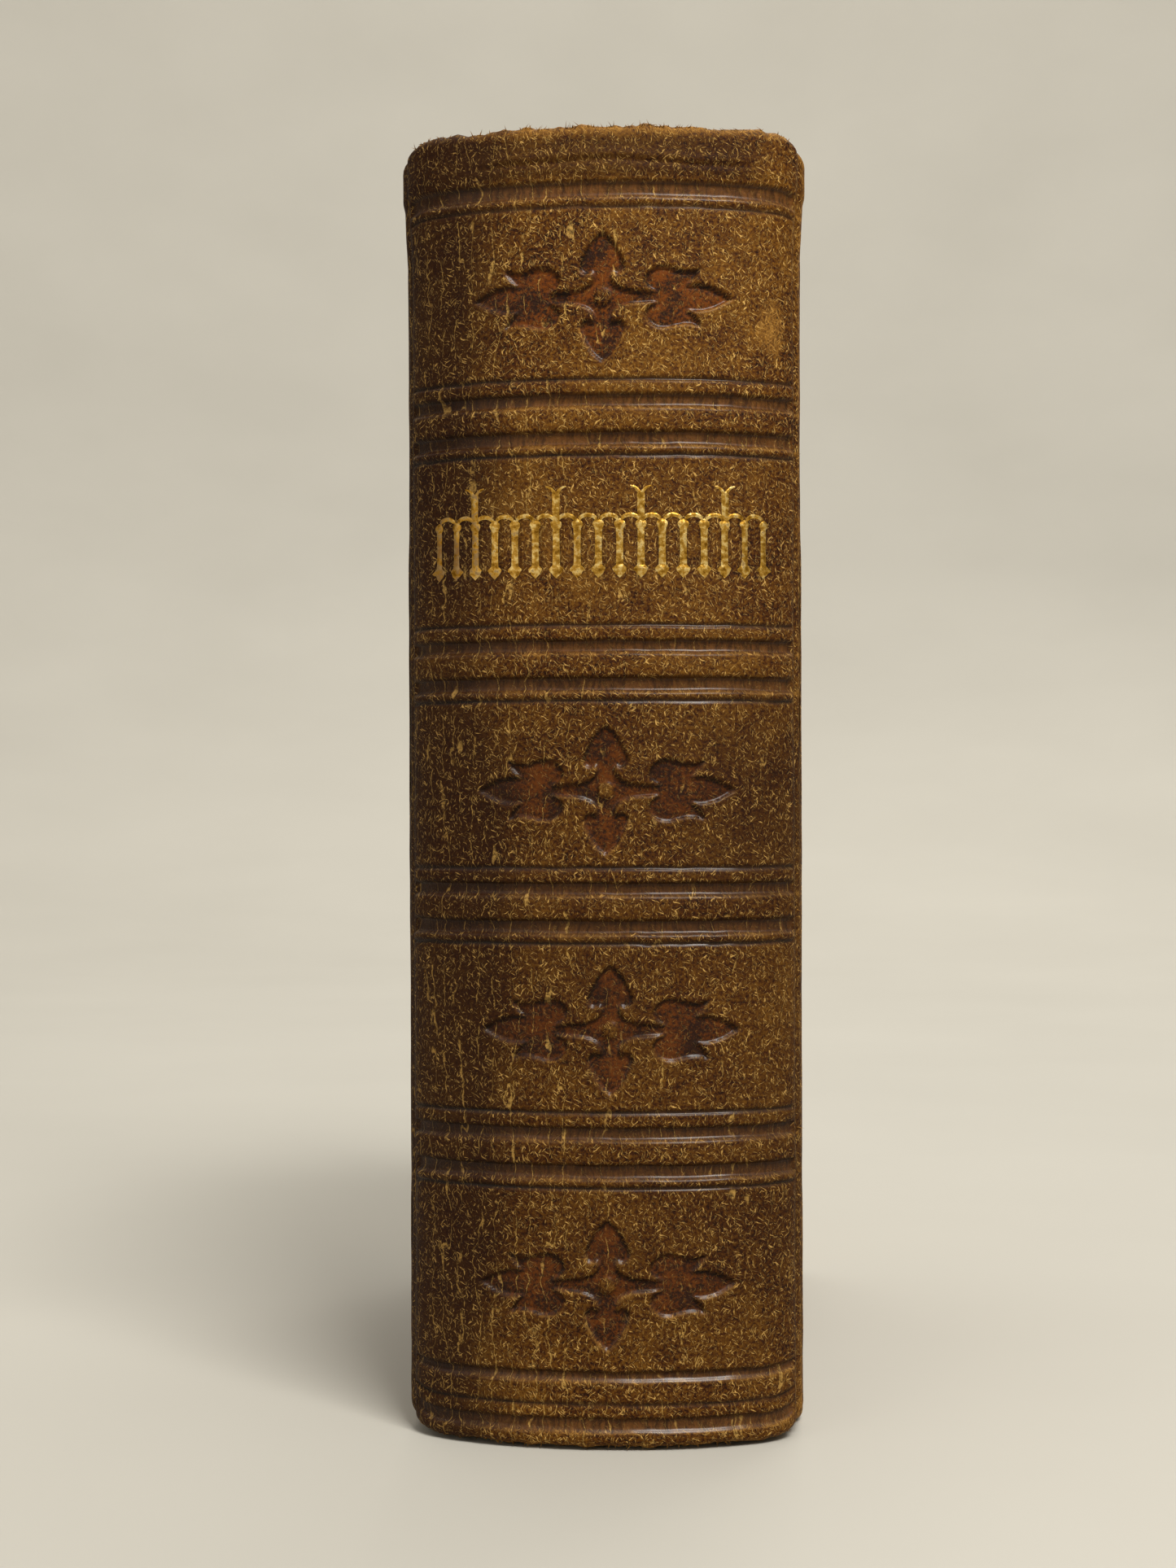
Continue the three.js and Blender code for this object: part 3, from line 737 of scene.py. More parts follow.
strokes = []
columnPlaces = (np.arange(frieze["bays"] + 1) - frieze["bays"] / 2) * frieze["pitch"]
for k, place in enumerate(columnPlaces):
    spire = k % 4 == 2
    t = np.linspace(0, 1, 14)
    top = frieze["spireTop"] if spire else frieze["head"]
    zPath = frieze["foot"] + t * (top - frieze["foot"])
    width = frieze["shaft"] * (1 - 0.15 * np.sin(math.pi * t))
    strokes.append(stroke(np.stack([0 * t + place, zPath], -1), width))
    strokes.append(lozenge(place, frieze["foot"], *frieze["footSize"]))
    strokes.append(lozenge(place, frieze["head"], *frieze["headSize"]))
    if spire:
        for way in (-1, 1):
            # the forked tip: each half curls out and up
            curl = frieze["spireTop"] - 0.4 + 1.05 * np.sin(t * 1.5)
            path = np.stack([place + way * 0.95 * t ** 1.6, curl], -1)
            strokes.append(stroke(path, 0.42 * (1 - 0.7 * t)))
    if k < frieze["bays"]:
        t = np.linspace(0, math.pi, 17)
        half = frieze["pitch"] / 2
        path = np.stack([place + half - half * np.cos(t), frieze["head"] + 0.85 * np.sin(t)], -1)
        strokes.append(stroke(path, frieze["hairline"] * (1 + 0.6 * np.sin(t))))
giltFrieze = addPiece("gilt_frieze", strokes, gold)
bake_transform(giltFrieze)
print("gilt frieze:", len(giltFrieze.data.polygons), "faces")

# the covers' leather, wrapped round the boards and turned in, with the joint it bends at

cover = {
    "edgeRadius": 1.0,
    "turnIn": 8.0,
    "spacing": 0.55,
    "jointSpacing": 0.22,
    "startY": -33.75,
    "lineInsets": (5.0, 6.3),       # from the edges to the two blind lines
    "jointInset": 6.5,
    "grooveAt": -30.9,              # where the cover bends
    "lineDepth": 0.17,
    "lineWidth": 0.26,
    "firstTuck": 0.12,              # how far its first edge goes down to the spine
    "stampScale": 1.7,
    "stampDepth": 0.3,
}


def coverRelief(y, z):
    # blind frame lines parallel to the edges, one fleuron in the middle, and the roll at the joint
    relief = 0.06 * valueNoise(y, z, 13.0, 41) + 0.03 * valueNoise(y, z, 3.0, 42)
    lines = 0 * y
    for inset in cover["lineInsets"]:
        low = cover["jointInset"] + inset - cover["lineInsets"][0] + book["boardFootY"] - 3.0
        high = book["foreEdgeY"] - inset
        for value, place, other, a, b in (
            (y, low, z, inset, book["height"] - inset), (y, high, z, inset, book["height"] - inset),
            (z, inset, y, low, high), (z, book["height"] - inset, y, low, high),
        ):
            within = smoothStep(other, a - 0.3, a) * (1 - smoothStep(other, b, b + 0.3))
            lines = np.maximum(lines, within * bell(value, place, cover["lineWidth"]))
    scale = cover["stampScale"]
    across, up = (z - book["height"] / 2) / scale, (y - 7.0) / scale
    distance = np.full(y.shape, -9.0)
    near = (np.abs(across) < 12.5) & (np.abs(up) < 7)
    distance[near] = insideFleuron(across[near], up[near])
    stamped = smoothStep(distance, -0.05, 0.14)
    boss = np.minimum(np.clip(1 - (across ** 2 + up ** 2) / 0.7, 0, 1) * 2.2, 1)
    relief -= cover["lineDepth"] * lines + cover["stampDepth"] * (stamped - boss * stamped)
    groove = bell(y, cover["grooveAt"], 0.9)
    relief -= 0.28 * groove
    edge = np.minimum(np.minimum(z, book["height"] - z), book["foreEdgeY"] - y)
    corner = np.hypot(np.maximum(book["foreEdgeY"] - y, 0), np.minimum(z, book["height"] - z))
    wearAndHighlight = 0.55 * np.exp(-np.maximum(edge, 0) / 1.3) + 0.7 * bell(corner, 0, 5.5)
    wearAndHighlight += 0.3 * bell(y, -32.6, 0.9) - 0.08
    tool = np.clip(lines + 0.25 * groove, 0, 1)
    # the blind lines are darkened along their length, partly scorch and partly painted shade
    return relief, {"tool": tool, "stamp": stamped * (1 - boss), "wearAndHighlight": wearAndHighlight,
                    "crack": 0.14 * groove - 0.09, "grimeAndShade": 0 * y, "burnAndShade": 0.6 * lines}


def jointDip(y, z):
    # how far head and tail draw in near the joint
    return 1.9 * bell(y, book["jointY"], 2.4) * (smoothStep(-z, -14, 0) - smoothStep(z, 106, 120))


def startTuck(y):
    start = cover["startY"]
    return cover["firstTuck"] * (1 - smoothStep(y, start, start + 0.5))


def coverSkin(name, side, body):
    r, thick = cover["edgeRadius"], book["coverThickness"]
    y = gradedSteps(cover["startY"], book["foreEdgeY"] - r,
                    lambda v: np.where(v < -29, cover["jointSpacing"], cover["spacing"]))
    z = gradedSteps(r, book["height"] - r, lambda v: 0 * v + cover["spacing"])
    yGrid, zGrid = np.meshgrid(y, z)
    relief, shares = coverRelief(yGrid, zGrid)
    x = side * (book["halfThickness"] + relief + 0.07 - startTuck(yGrid))
    panel = np.stack([x, yGrid, zGrid + jointDip(yGrid, zGrid)], -1)
    flat = flatPlace(yGrid * side + 200, zGrid)

    # the way round the edges: tail, fore-edge, head, with a fan of directions at each corner
    fan = 7
    tail = np.stack([y, 0 * y + z[0], 0 * y, 0 * y - 1], -1)
    fore = np.stack([0 * z + y[-1], z, 0 * z + 1, 0 * z], -1)
    head = np.stack([y[::-1], 0 * y + z[-1], 0 * y, 0 * y + 1], -1)
    angle = np.linspace(-math.pi / 2, 0, fan)[1:-1]
    turnTail = np.stack([0 * angle + y[-1], 0 * angle + z[0], np.cos(angle), np.sin(angle)], -1)
    angle = -angle[::-1]
    turnHead = np.stack([0 * angle + y[-1], 0 * angle + z[-1], np.cos(angle), np.sin(angle)], -1)
    way = np.vstack([tail, turnTail, fore, turnHead, head])
    # how far the turn-in reaches, cut to a mitre near the corners
    fromCorners = [np.hypot(way[:, 0] - y[-1], way[:, 1] - end) for end in (z[0], z[-1])]
    reach = np.minimum(cover["turnIn"], np.minimum(*fromCorners))
    quarter = np.linspace(0, math.pi / 2, 7)
    out = np.concatenate([r * np.sin(quarter), r * np.cos(quarter)])
    depth = np.concatenate([r * (1 - np.cos(quarter)), thick - r + r * np.sin(quarter)])
    inner = np.linspace(0, 1, 14)[1:]
    out = np.concatenate([out, 0 * inner])
    depth = np.concatenate([depth, thick + 0 * inner])
    pull = np.concatenate([np.zeros(14), inner])
    total = thick - 1.4 * (1 - smoothStep(way[:, 0], book["jointY"], book["boardFootY"]))
    e = out[:, None] - pull[:, None] * reach[None, :]
    d = depth[:, None] / thick * total[None, :]
    d = d - 0.25 * (pull[:, None] > 0.99)
    yEdge = way[None, :, 0] + e * way[None, :, 2]
    zEdge = way[None, :, 1] + e * way[None, :, 3]
    lumps = 0.1 * valueNoise(yEdge + zEdge * 1.3, yEdge - zEdge, 2.6, 43) * (out[:, None] > 0)
    base = coverRelief(way[None, :, 0] + 0 * e, way[None, :, 1] + 0 * e)[0]
    fade = np.concatenate([np.linspace(1, 0, 7), np.zeros(len(out) - 7)])[:, None]
    xEdge = side * (book["halfThickness"] + base * fade + 0.07 - 0.07 * (1 - fade) - d)
    yEdge = yEdge + lumps * way[None, :, 2]
    zEdge = zEdge + lumps * way[None, :, 3]
    xEdge = xEdge - side * startTuck(yEdge) * fade
    ring = np.stack([xEdge, yEdge, np.maximum(zEdge + jointDip(yEdge, zEdge), 0)], -1)
    ringFlat = np.stack([way[None, :, 0] * side + 200 + e * 0.7, way[None, :, 1] + e * 0.7, d], -1)
    toEnd = np.minimum(way[None, :, 1], book["height"] - way[None, :, 1])
    corner = np.hypot(book["foreEdgeY"] - way[None, :, 0], toEnd)
    rubbed = (0.5 + 0.6 * bell(corner, 0, 6)) * (out[:, None] > 0) + 0 * e
    ringShares = {**{key: 0 * e for key in shares}, "wearAndHighlight": rubbed}
    made = addPiece(name, [
        {"points": panel, "flip": side < 0, "values": {"flatMm": flat, **shares}},
        {"points": ring, "flip": side > 0, "values": {"flatMm": ringFlat, **ringShares}},
    ], calf, weld=0.002)
    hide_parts(f"{body.split('_')[0]}_side_leather")
    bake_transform(made)
    return made


frontSkin = coverSkin("front_cover_leather", 1, "front_cover")
coverSkin("back_cover_leather", -1, "back_cover")
print("cover leather:", len(frontSkin.data.polygons), "faces each")

# rag paper, its cut edges gilt on red bole and dulled; endpapers coated maroon

paper = {
    "cream": "#e6d9b8",
    "tanned": "#bd9c63",
    "ink": "#2b2420",
    "rubric": "#8c2f22",
    "gilt": "#c79c48",
    "giltDull": "#86602a",
    "maroon": "#5a1c1a",
    "maroonDeep": "#451312",
    "maroonScuff": "#7f4639",
    "lineSpacing": 3.3,
    "textHalfWidth": 27.3,
    "textHalfHeight": 46.3,
    "toForeEdge": 38.1,
    "toHead": 58.2,
    "leavesShown": 20,
}


def pageColour(add, place):
    # toned paper with rows of strokes too broken up to read, a few rows in red, inside margins
    _, y, z = add("SeparateXYZ", [place]).node.outputs
    row = add("Math", [z, paper["lineSpacing"]], operation="DIVIDE")
    number = add("Math", [row], operation="FLOOR")
    height = add("Math", [row], operation="FRACT")
    height = add("Math", [height, 0.45], operation="SUBTRACT")
    height = add("Math", [height], operation="ABSOLUTE")
    ink = add("MapRange", [height, 0.18, 0.24, 1.0, 0.0])
    along = add("Math", [y, 1.9], operation="DIVIDE")
    apart = add("Math", [number, 7.3], operation="MULTIPLY")
    spot = add("CombineXYZ", [along, apart])
    words = add("TexNoise", {"Vector": spot, "Scale": 1.0, "Detail": 0.0})
    words = add("MapRange", [words, 0.4, 0.46])
    spot = add("Mapping", {"Vector": place, "Scale": (1.0, 0.22, 0.5)}, vector_type="TEXTURE")
    strokes = add("TexNoise", {"Vector": spot, "Scale": 1.0, "Detail": 1.0})
    strokes = add("MapRange", [strokes, 0.46, 0.54])
    fromMiddle = add("VectorMath", [place, (0.0, 0.4, 59.3)], operation="SUBTRACT")
    fromMiddle = add("VectorMath", [fromMiddle], operation="ABSOLUTE")
    _, aside, above = add("SeparateXYZ", [fromMiddle]).node.outputs
    within = add("Math", [aside, paper["textHalfWidth"]], operation="LESS_THAN")
    below = add("Math", [above, paper["textHalfHeight"]], operation="LESS_THAN")
    for factor in (words, strokes, within, below, 0.82):
        ink = add("Math", [ink, factor], operation="MULTIPLY")
    spot = add("CombineXYZ", [apart, apart])
    red = add("TexNoise", {"Vector": spot, "Scale": 0.5, "Detail": 0.0})
    red = add("MapRange", [red, 0.62, 0.63])
    inkColour = add("Mix", {0: red, 6: paper["ink"], 7: paper["rubric"]}, **colourMix)

    # paper browns from its edges inwards
    aside = add("Math", [paper["toForeEdge"], aside], operation="SUBTRACT")
    above = add("Math", [paper["toHead"], above], operation="SUBTRACT")
    edge = add("Math", [aside, above], operation="MINIMUM")
    toned = add("MapRange", [edge, 0.0, 13.0, 0.55, 0.0], interpolation_type="SMOOTHSTEP")
    cloud = add("TexNoise", {"Vector": place, "Scale": 0.12, "Detail": 4.0})
    cloud = add("MapRange", [cloud, 0.45, 0.7, 0.0, 0.28])
    toned = add("Math", [toned, cloud], operation="ADD")
    sheet = add("Mix", {0: toned, 6: paper["cream"], 7: paper["tanned"]}, **colourMix)
    return add("Mix", {0: ink, 6: sheet, 7: inkColour}, **colourMix)


def objectMm(add):
    # object coordinates, in millimetres
    place = add("TexCoord", out="Object")
    return add("VectorMath", {0: place, "Scale": 1000.0}, operation="SCALE")


def giltEdgeLook(add):
    # cut edges of stacked leaves under burnished gilt: fine lines along the leaves, soft metal glow
    place = objectMm(add)
    laid = add("Mapping", {"Vector": place, "Scale": (0.11, 33.0, 33.0)}, vector_type="TEXTURE")
    leaf = add("TexNoise", {"Vector": laid, "Scale": 1.0, "Detail": 2.0})
    rubbed = add("TexNoise", {"Vector": place, "Scale": 0.16, "Detail": 4.0, "Roughness": 0.6})
    worn = add("Math", [leaf, 0.5, rubbed], operation="MULTIPLY_ADD")
    worn = add("MapRange", [worn, 0.78, 0.95])
    gilt = add("ValToRGB", [leaf], stops=[(0.35, paper["giltDull"]), (0.65, paper["gilt"])])
    colour = add("Mix", {0: worn, 6: gilt, 7: paper["tanned"]}, **colourMix)
    metal = add("MapRange", [worn, 0.0, 1.0, 0.85, 0.15])
    rough = add("MapRange", [worn, 0.0, 1.0, 0.46, 0.75])
    bump = add("Bump", {"Height": leaf, "Distance": 0.00012})
    return {"Base Color": colour, "Metallic": metal, "Roughness": rough, "Normal": bump}


def ragPaper(add, place, colour):
    # rag paper, laid and sized: matt, with a faint tooth
    tooth = add("TexNoise", {"Vector": place, "Scale": 2.5, "Detail": 4.0})
    bump = add("Bump", {"Height": tooth, "Distance": 0.00003})
    return {"Base Color": colour, "Roughness": 0.85, "Normal": bump}


def pageLook(add):
    # the paper with its print, toned by age towards the edges
    place = objectMm(add)
    return ragPaper(add, place, pageColour(add, place))


def plainPaperLook(add):
    # the same paper without print, foxed: soft brown spots and clouds
    place = objectMm(add)
    fox = add("TexNoise", {"Vector": place, "Scale": 0.35, "Detail": 5.0, "Roughness": 0.7})
    fox = add("MapRange", [fox, 0.6, 0.75, 0.0, 0.6])
    cloud = add("TexNoise", {"Vector": place, "Scale": 0.06, "Detail": 3.0})
    cloud = add("MapRange", [cloud, 0.4, 0.7, 0.1, 0.5])
    toned = add("Math", [fox, cloud], operation="MAXIMUM")
    colour = add("Mix", {0: toned, 6: paper["cream"], 7: paper["tanned"]}, **colourMix)
    return ragPaper(add, place, colour)


def endpaperLook(add):
    # paper brushed with a coloured clay coat and glazed: smooth, faintly shiny, scuffed to its pulp
    place = objectMm(add)
    cloud = add("TexNoise", {"Vector": place, "Scale": 0.09, "Detail": 4.0})
    scuff = add("TexNoise", {"Vector": place, "Scale": 0.7, "Detail": 5.0, "Distortion": 1.5})
    scuff = add("MapRange", [scuff, 0.58, 0.72, 0.0, 0.6])
    speck = add("TexNoise", {"Vector": place, "Scale": 4.0, "Detail": 2.0})
    speck = add("MapRange", [speck, 0.66, 0.72, 0.0, 0.35])
    scuff = add("Math", [scuff, speck], operation="MAXIMUM")
    colour = add("ValToRGB", [cloud], stops=[(0.35, paper["maroonDeep"]), (0.65, paper["maroon"])])
    colour = add("Mix", {0: scuff, 6: colour, 7: paper["maroonScuff"]}, **colourMix)
    rough = add("MapRange", [cloud, 0.3, 0.7, 0.42, 0.6])
    bump = add("Bump", {"Height": speck, "Distance": 0.00002})
    return {"Base Color": colour, "Roughness": rough, "Normal": bump}


giltEdge = newMaterial("burnished_gilt_edge", giltEdgeLook)
pagePaper = newMaterial("printed_rag_paper", pageLook)
creamPaper = newMaterial("foxed_rag_paper", plainPaperLook)
maroonPaper = newMaterial("coated_maroon_paper", endpaperLook)


def foldCurve(x):
    a, b = book["halfThickness"] - book["foldInset"], book["spineRise"] - book["foldInset"]
    return book["jointY"] - b * np.sqrt(1 - (x / a) ** 2)


def gatheringPiece(node, body, seed):
    # a loop round the sheets' four edges for each face of each leaf, and the two outer pages
    low, high = [np.array(corner) * 1000 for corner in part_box(node)]
    random = np.random.default_rng(seed)
    count = paper["leavesShown"]
    edges = np.linspace(low[0], high[0], count + 1)
    gap = 0.012
    x = np.stack([edges[:-1] + gap, edges[1:] - gap], -1).ravel()
    slip = np.repeat(random.normal(0, 0.022, (3, count)), 2, axis=1)
    middle, radius = (low[0] + high[0]) / 2, (high[0] - low[0]) / 2
    fold = low[1] + radius - np.sqrt(radius ** 2 - (x - middle) ** 2)
    fore = foldCurve(x) + book["leafWidth"] + slip[0]
    head, tail = high[2] + slip[1], low[2] + slip[2]
    t = np.array([[0.0, 1.0]])
    wide, tall = fold[:, None] + t * (fore - fold)[:, None], head[:, None] + t * (tail - head)[:, None]
    y = np.hstack([wide, 0 * t + fore[:, None], wide[:, ::-1], 0 * t + fold[:, None]])
    z = np.hstack([0 * t + head[:, None], tall, 0 * t + tail[:, None], tall[:, ::-1]])
    loop = np.stack([x[:, None] + 0 * y, y, z], -1)
    made = [{"points": loop, "closed": True, "flip": True}]
    for place, flip in ((x[0], False), (x[-1], True)):
        k = 0 if place == x[0] else -1
        ys, zs = np.meshgrid([fold[k], fore[k]], [tail[k], head[k]])
        made.append({"points": np.stack([0 * ys + place, ys, zs], -1), "flip": not flip, "finish": 1})
    piece = addPiece(node + "_leaves", made, giltEdge, pagePaper, weld=0.0005, smooth=False)
    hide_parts(node)
    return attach(piece, body)


for half in ("front", "back"):
    for k in range(1, 8):
        gatheringPiece(f"{half}_gathering_{k}", f"{half}_block", 100 + k + 10 * (half == "back"))
print("gatherings made")

# the worked endbands at head and tail, bent round the spine

endband = {
    "inset": 3.25,
    "radius": 0.82,
    "reach": 76.0,                  # degrees round the spine's curve, each way
    "stitch": 0.62,
    "thread": 0.16,
    "dark": "#6e2219",
    "pale": "#c9a765",
    "dirt": "#4d3722",
}


def silkLook(add):
    # twisted silk worked tight over a cord: a soft sheen across each turn, faded and dusty
    flat = add("Attribute", out="Vector", attribute_name="flatMm")
    along = add("SeparateXYZ", [flat])
    turns = add("Math", [along, endband["stitch"] * 3], operation="DIVIDE")
    turns = add("Math", [turns, 1.0], operation="PINGPONG")
    stripe = add("MapRange", [turns, 0.48, 0.52])
    colour = add("Mix", {0: stripe, 6: endband["dark"], 7: endband["pale"]}, **colourMix)
    dirt = add("TexNoise", {"Vector": flat, "Scale": 0.8, "Detail": 4.0})
    dirt = add("MapRange", [dirt, 0.4, 0.7, 0.0, 0.5])
    colour = add("Mix", {0: dirt, 6: colour, 7: endband["dirt"]}, **colourMix)
    thread = add("Math", [along, 6.283 / endband["thread"]], operation="MULTIPLY")
    thread = add("Math", [thread], operation="SINE")
    bump = add("Bump", {"Height": thread, "Distance": 0.00003})
    return {"Base Color": colour, "Roughness": 0.55, "Sheen Weight": 0.3, "Normal": bump}


silk = newMaterial("worked_silk", silkLook)


def endbandPiece(name, zMiddle, nodes):
    # a roll along the spine's curve, with a waist between each stitch and the next
    u = np.radians(np.linspace(-endband["reach"], endband["reach"], 420))
    path = ellipseAt(u, endband["inset"])
    step = np.linalg.norm(np.diff(path, axis=0), axis=1)
    length = np.concatenate([[0], np.cumsum(step)])
    a, b = book["halfThickness"] - endband["inset"], book["spineRise"] - endband["inset"]
    normal = np.stack([np.sin(u) / a, -np.cos(u) / b], -1)
    normal /= np.linalg.norm(normal, axis=1)[:, None]
    radius = endband["radius"] * (0.93 + 0.09 * np.abs(np.sin(math.pi * length / endband["stitch"])))
    radius *= np.sqrt(np.clip(np.minimum(length, length[-1] - length) / 0.6, 0, 1))
    around = np.linspace(0, 2 * math.pi, 16, endpoint=False)
    out, up = np.outer(radius, np.cos(around)), np.outer(radius, np.sin(around))
    points = np.zeros(out.shape + (3,))
    points[..., :2] = path[:, None] + out[..., None] * normal[:, None]
    points[..., 2] = zMiddle + up
    flat = flatPlace(length[:, None] + 0 * out, up)
    grid = {"points": points, "closed": True, "flip": True, "values": {"flatMm": flat}}
    made = addPiece(name, [grid], silk, weld=0.0005)
    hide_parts(*nodes)
    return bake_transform(made)


endbandPiece("worked_headband", 118.36, ("front_headband", "back_headband"))
endbandPiece("worked_tailband", 1.64, ("front_tailband", "back_tailband"))

# paper hinges: the endpaper's fold inside each joint, and the sheets' fold at the middle


def foldedStrip(name, path, low, high, thickness, material, rows=40):
    # a strip of one thickness along a path in plan, from low to high
    side = acrossPath(path) * thickness / 2
    z = np.concatenate([[low], np.linspace(low, high, rows), [high]])
    full = np.ones((len(z), 1, 1))
    full[[0, -1]] = 0                       # the first and last rows close the ends
    plan = np.concatenate([path + side * full, (path - side * full)[:, ::-1]], axis=1)
    points = np.dstack([plan, z[:, None] + 0 * plan[..., 0]])
    return addPiece(name, [{"points": points, "closed": True}], material, weld=0.0005)


def flyleafPiece(half, side):
    # two flat faces and the rim between them, its rows close together near the fold
    low, high = [np.array(corner) * 1000 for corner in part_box(half + "_flyleaf")]
    y = gradedSteps(low[1], high[1], lambda v: np.where(v < -26, 0.3, 6.0))
    z = np.linspace(low[2], high[2], 9)
    yGrid, zGrid = np.meshgrid(y, z)
    rim = np.vstack([
        np.stack([y, 0 * y + low[2]], -1)[:-1], np.stack([0 * z + high[1], z], -1)[:-1],
        np.stack([y, 0 * y + high[2]], -1)[:0:-1], np.stack([0 * z + low[1], z], -1)[:0:-1],
    ])
    places = np.array([low[0], high[0]])[:, None] + 0 * rim[None, :, 0]
    band = np.stack([places, rim[:, 0] + 0 * places, rim[:, 1] + 0 * places], -1)
    inner, outer = (low[0], high[0]) if side > 0 else (high[0], low[0])
    made = addPiece(half + "_turning_flyleaf", [
        {"points": band, "closed": True},
        {"points": np.stack([outer + 0 * yGrid, yGrid, zGrid], -1), "flip": side < 0, "finish": 1},
        {"points": np.stack([inner + 0 * yGrid, yGrid, zGrid], -1), "flip": side > 0, "finish": 2},
    ], giltEdge, maroonPaper, creamPaper, weld=0.002, smooth=False)
    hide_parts(half + "_flyleaf")
    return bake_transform(made)


for side, half in ((1, "front"), (-1, "back")):
    flyleafPiece(half, side)
    y = np.linspace(-33.2, -27.5, 70)
    path = np.stack([side * 14.965 + 0 * y, y], -1)
    strip = foldedStrip(f"{half}_joint_paper", path, 2.6, 117.4, 0.03, maroonPaper)
    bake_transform(strip)

t = np.linspace(-1, 1, 41)
gutter = np.stack([0.3 * np.clip(t * 2.2, -1, 1), -38.7 + np.maximum(np.abs(t) - 0.455, 0) * 4.4], -1)
strip = foldedStrip("middle_fold", gutter, 2.6, 117.4, 0.02, creamPaper)
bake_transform(strip)

# cloth and board inside the covers; they show only where the real ones would

linings = {
    "mull": {"thread": 0.7, "light": "#d6cbb0", "dark": "#8d7648"},     # mm between threads
    "tape": {"thread": 0.4, "light": "#cdbf9d", "dark": "#927c50"},
    "board": {"light": "#958770", "dark": "#5e5142", "to": 0.65},
    "lining": {"light": "#b49a6e", "dark": "#7a6240", "to": 0.6},
}


def wovenLook(add, cloth):
    # plain weave stiff with old glue: a regular over-and-under in both shades, matt
    place = objectMm(add)
    x, y, z = add("SeparateXYZ", [place]).node.outputs
    warp = add("Math", [x, y], operation="ADD")
    warp = add("Math", [warp, 6.283 / cloth["thread"]], operation="MULTIPLY")
    warp = add("Math", [warp], operation="SINE")
    weft = add("Math", [z, 6.283 / cloth["thread"]], operation="MULTIPLY")
    weft = add("Math", [weft], operation="SINE")
    weave = add("Math", [warp, weft], operation="MULTIPLY")
    stain = add("TexNoise", {"Vector": place, "Scale": 0.25, "Detail": 4.0})
    shade = add("MapRange", [stain, 0.35, 0.7])
    gap = add("MapRange", [weave, -0.2, -0.9, 0.0, 0.6])
    shade = add("Math", [shade, gap], operation="MAXIMUM")
    colour = add("Mix", {0: shade, 6: cloth["light"], 7: cloth["dark"]}, **colourMix)
    bump = add("Bump", {"Height": weave, "Distance": 0.00006})
    return {"Base Color": colour, "Roughness": 0.9, "Normal": bump}


def fibreboardLook(add, board):
    # pulp pressed between rollers: matt, flecked along the way it was rolled
    place = objectMm(add)
    laid = add("Mapping", {"Vector": place, "Scale": (0.5, 1.6, 0.7)}, vector_type="TEXTURE")
    fleck = add("TexNoise", {"Vector": laid, "Scale": 1.4, "Detail": 4.0, "Roughness": 0.65})
    colour = add("ValToRGB", [fleck], stops=[(0.35, board["dark"]), (board["to"], board["light"])])
    bump = add("Bump", {"Height": fleck, "Distance": 0.00008})
    return {"Base Color": colour, "Roughness": 0.9, "Normal": bump}


mull = newMaterial("starched_cotton_mull", wovenLook, linings["mull"])
tape = newMaterial("woven_linen_tape", wovenLook, linings["tape"])
millboard = newMaterial("pressed_millboard", fibreboardLook, linings["board"])
lining = newMaterial("brown_lining_paper", fibreboardLook, linings["lining"])

nodeFinishes = {
    "mull": [mull],
    "tape": [tape],
    "board": [millboard],
    "lining": [lining],
    "pastedown": [maroonPaper],
    "middle_leaf": [giltEdge, pagePaper],       # its cut edges, and its two pages
}
for name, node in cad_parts.items():
    if node.hide_render:
        continue
    finishes = next(made for part, made in nodeFinishes.items() if part in name)
    node.data.materials.clear()
    for finish in finishes:
        node.data.materials.append(finish)
    if len(finishes) == 2:
        for polygon in node.data.polygons:
            polygon.material_index = abs(polygon.normal.x) > 0.5
print("finishes on the CAD pieces")

# a plain pale floor that rises far off, all round, in one wide bend

stage = {"floorRadius": 0.45, "bend": 0.95, "wall": 1.15, "pale": "#bab6ac", "shade": "#b5b1a7"}


def paintLook(add):
    # matt wall paint, rolled on: even, with the faintest cloud
    place = add("TexCoord", out="Object")
    cloud = add("TexNoise", {"Vector": place, "Scale": 9.0, "Detail": 4.0})
    colour = add("ValToRGB", [cloud], stops=[(0.3, stage["shade"]), (0.7, stage["pale"])])
    return {"Base Color": colour, "Roughness": 0.85}


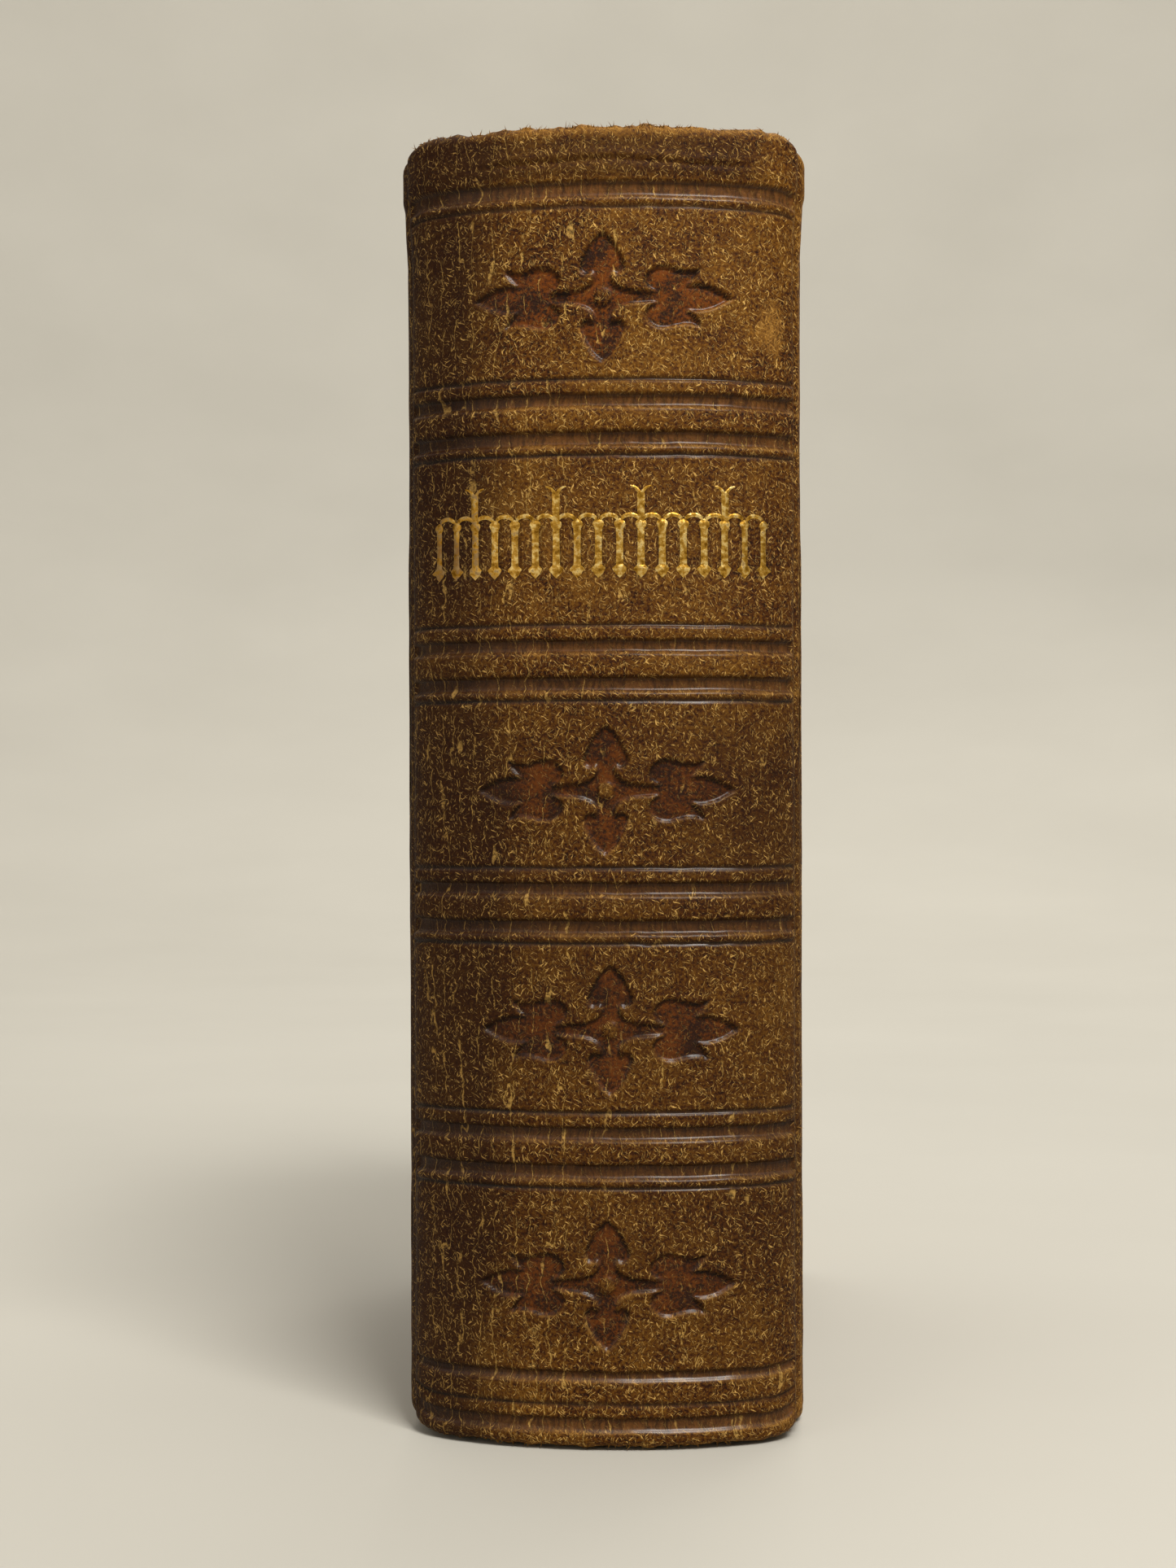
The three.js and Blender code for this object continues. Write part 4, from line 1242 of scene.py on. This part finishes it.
# a dish turned about the middle: flat, then a quarter round, then upright
rise = np.linspace(0, math.pi / 2, 24)
dishRadius = np.concatenate([[0.001, 0.2], stage["floorRadius"] + stage["bend"] * np.sin(rise)])
dishHeight = np.concatenate([[0, 0], stage["bend"] * (1 - np.cos(rise))])
dishRadius = np.append(dishRadius, dishRadius[-1])
dishHeight = np.append(dishHeight, stage["wall"])
turnAngle = np.linspace(0, 2 * math.pi, 96, endpoint=False)
dish = np.zeros((len(dishRadius), len(turnAngle), 3))
dish[..., 0] = np.outer(dishRadius, np.cos(turnAngle))
dish[..., 1] = np.outer(dishRadius, np.sin(turnAngle))
dish[..., 2] = dishHeight[:, None]
palePaint = newMaterial("matt_pale_paint", paintLook)
floor = addPiece("pale_floor", [{"points": dish * 1000, "closed": True}], palePaint)
print("floor")

# soft cool light from high in front and a little to the front-cover side

lights = {
    # place, aim, size, watts, colour
    "key": ((0.22, -0.42, 0.62), (0.0, -0.02, 0.07), 0.28, 5.9, "#fffdf8"),
    "fill": ((-0.5, -0.7, 0.3), (0.0, -0.02, 0.06), 0.5, 0.8, "#fff6ea"),
    "rear": ((0.15, 0.6, 0.6), (0.0, 0.0, 0.06), 0.5, 1.6, "#fbf8f2"),
    "wall": ((0.0, 0.5, 1.1), (0.0, 1.4, 0.3), 0.8, 7.5, "#fbf8f2"),
}
for name, (place, target, size, watts, colour) in lights.items():
    data = bpy.data.lights.new(name, "AREA")
    data.size = size
    data.energy = watts
    data.color = linearColour(colour)[:3]
    lamp = bpy.data.objects.new(name, data)
    bpy.context.scene.collection.objects.link(lamp)
    way = np.array(target) - np.array(place)
    lamp.location = place
    lamp.rotation_euler = (math.acos(-way[2] / np.linalg.norm(way)), 0.0, math.atan2(-way[0], way[1]))

room = {"colour": "#f3f1ec", "strength": 0.6}
world = bpy.data.worlds.new("soft_room")
world.use_nodes = True
world.node_tree.nodes["Background"].inputs[0].default_value = linearColour(room["colour"])
world.node_tree.nodes["Background"].inputs[1].default_value = room["strength"]
bpy.context.scene.world = world
bpy.context.scene.view_settings.view_transform = "Standard"    # colours as they are given above
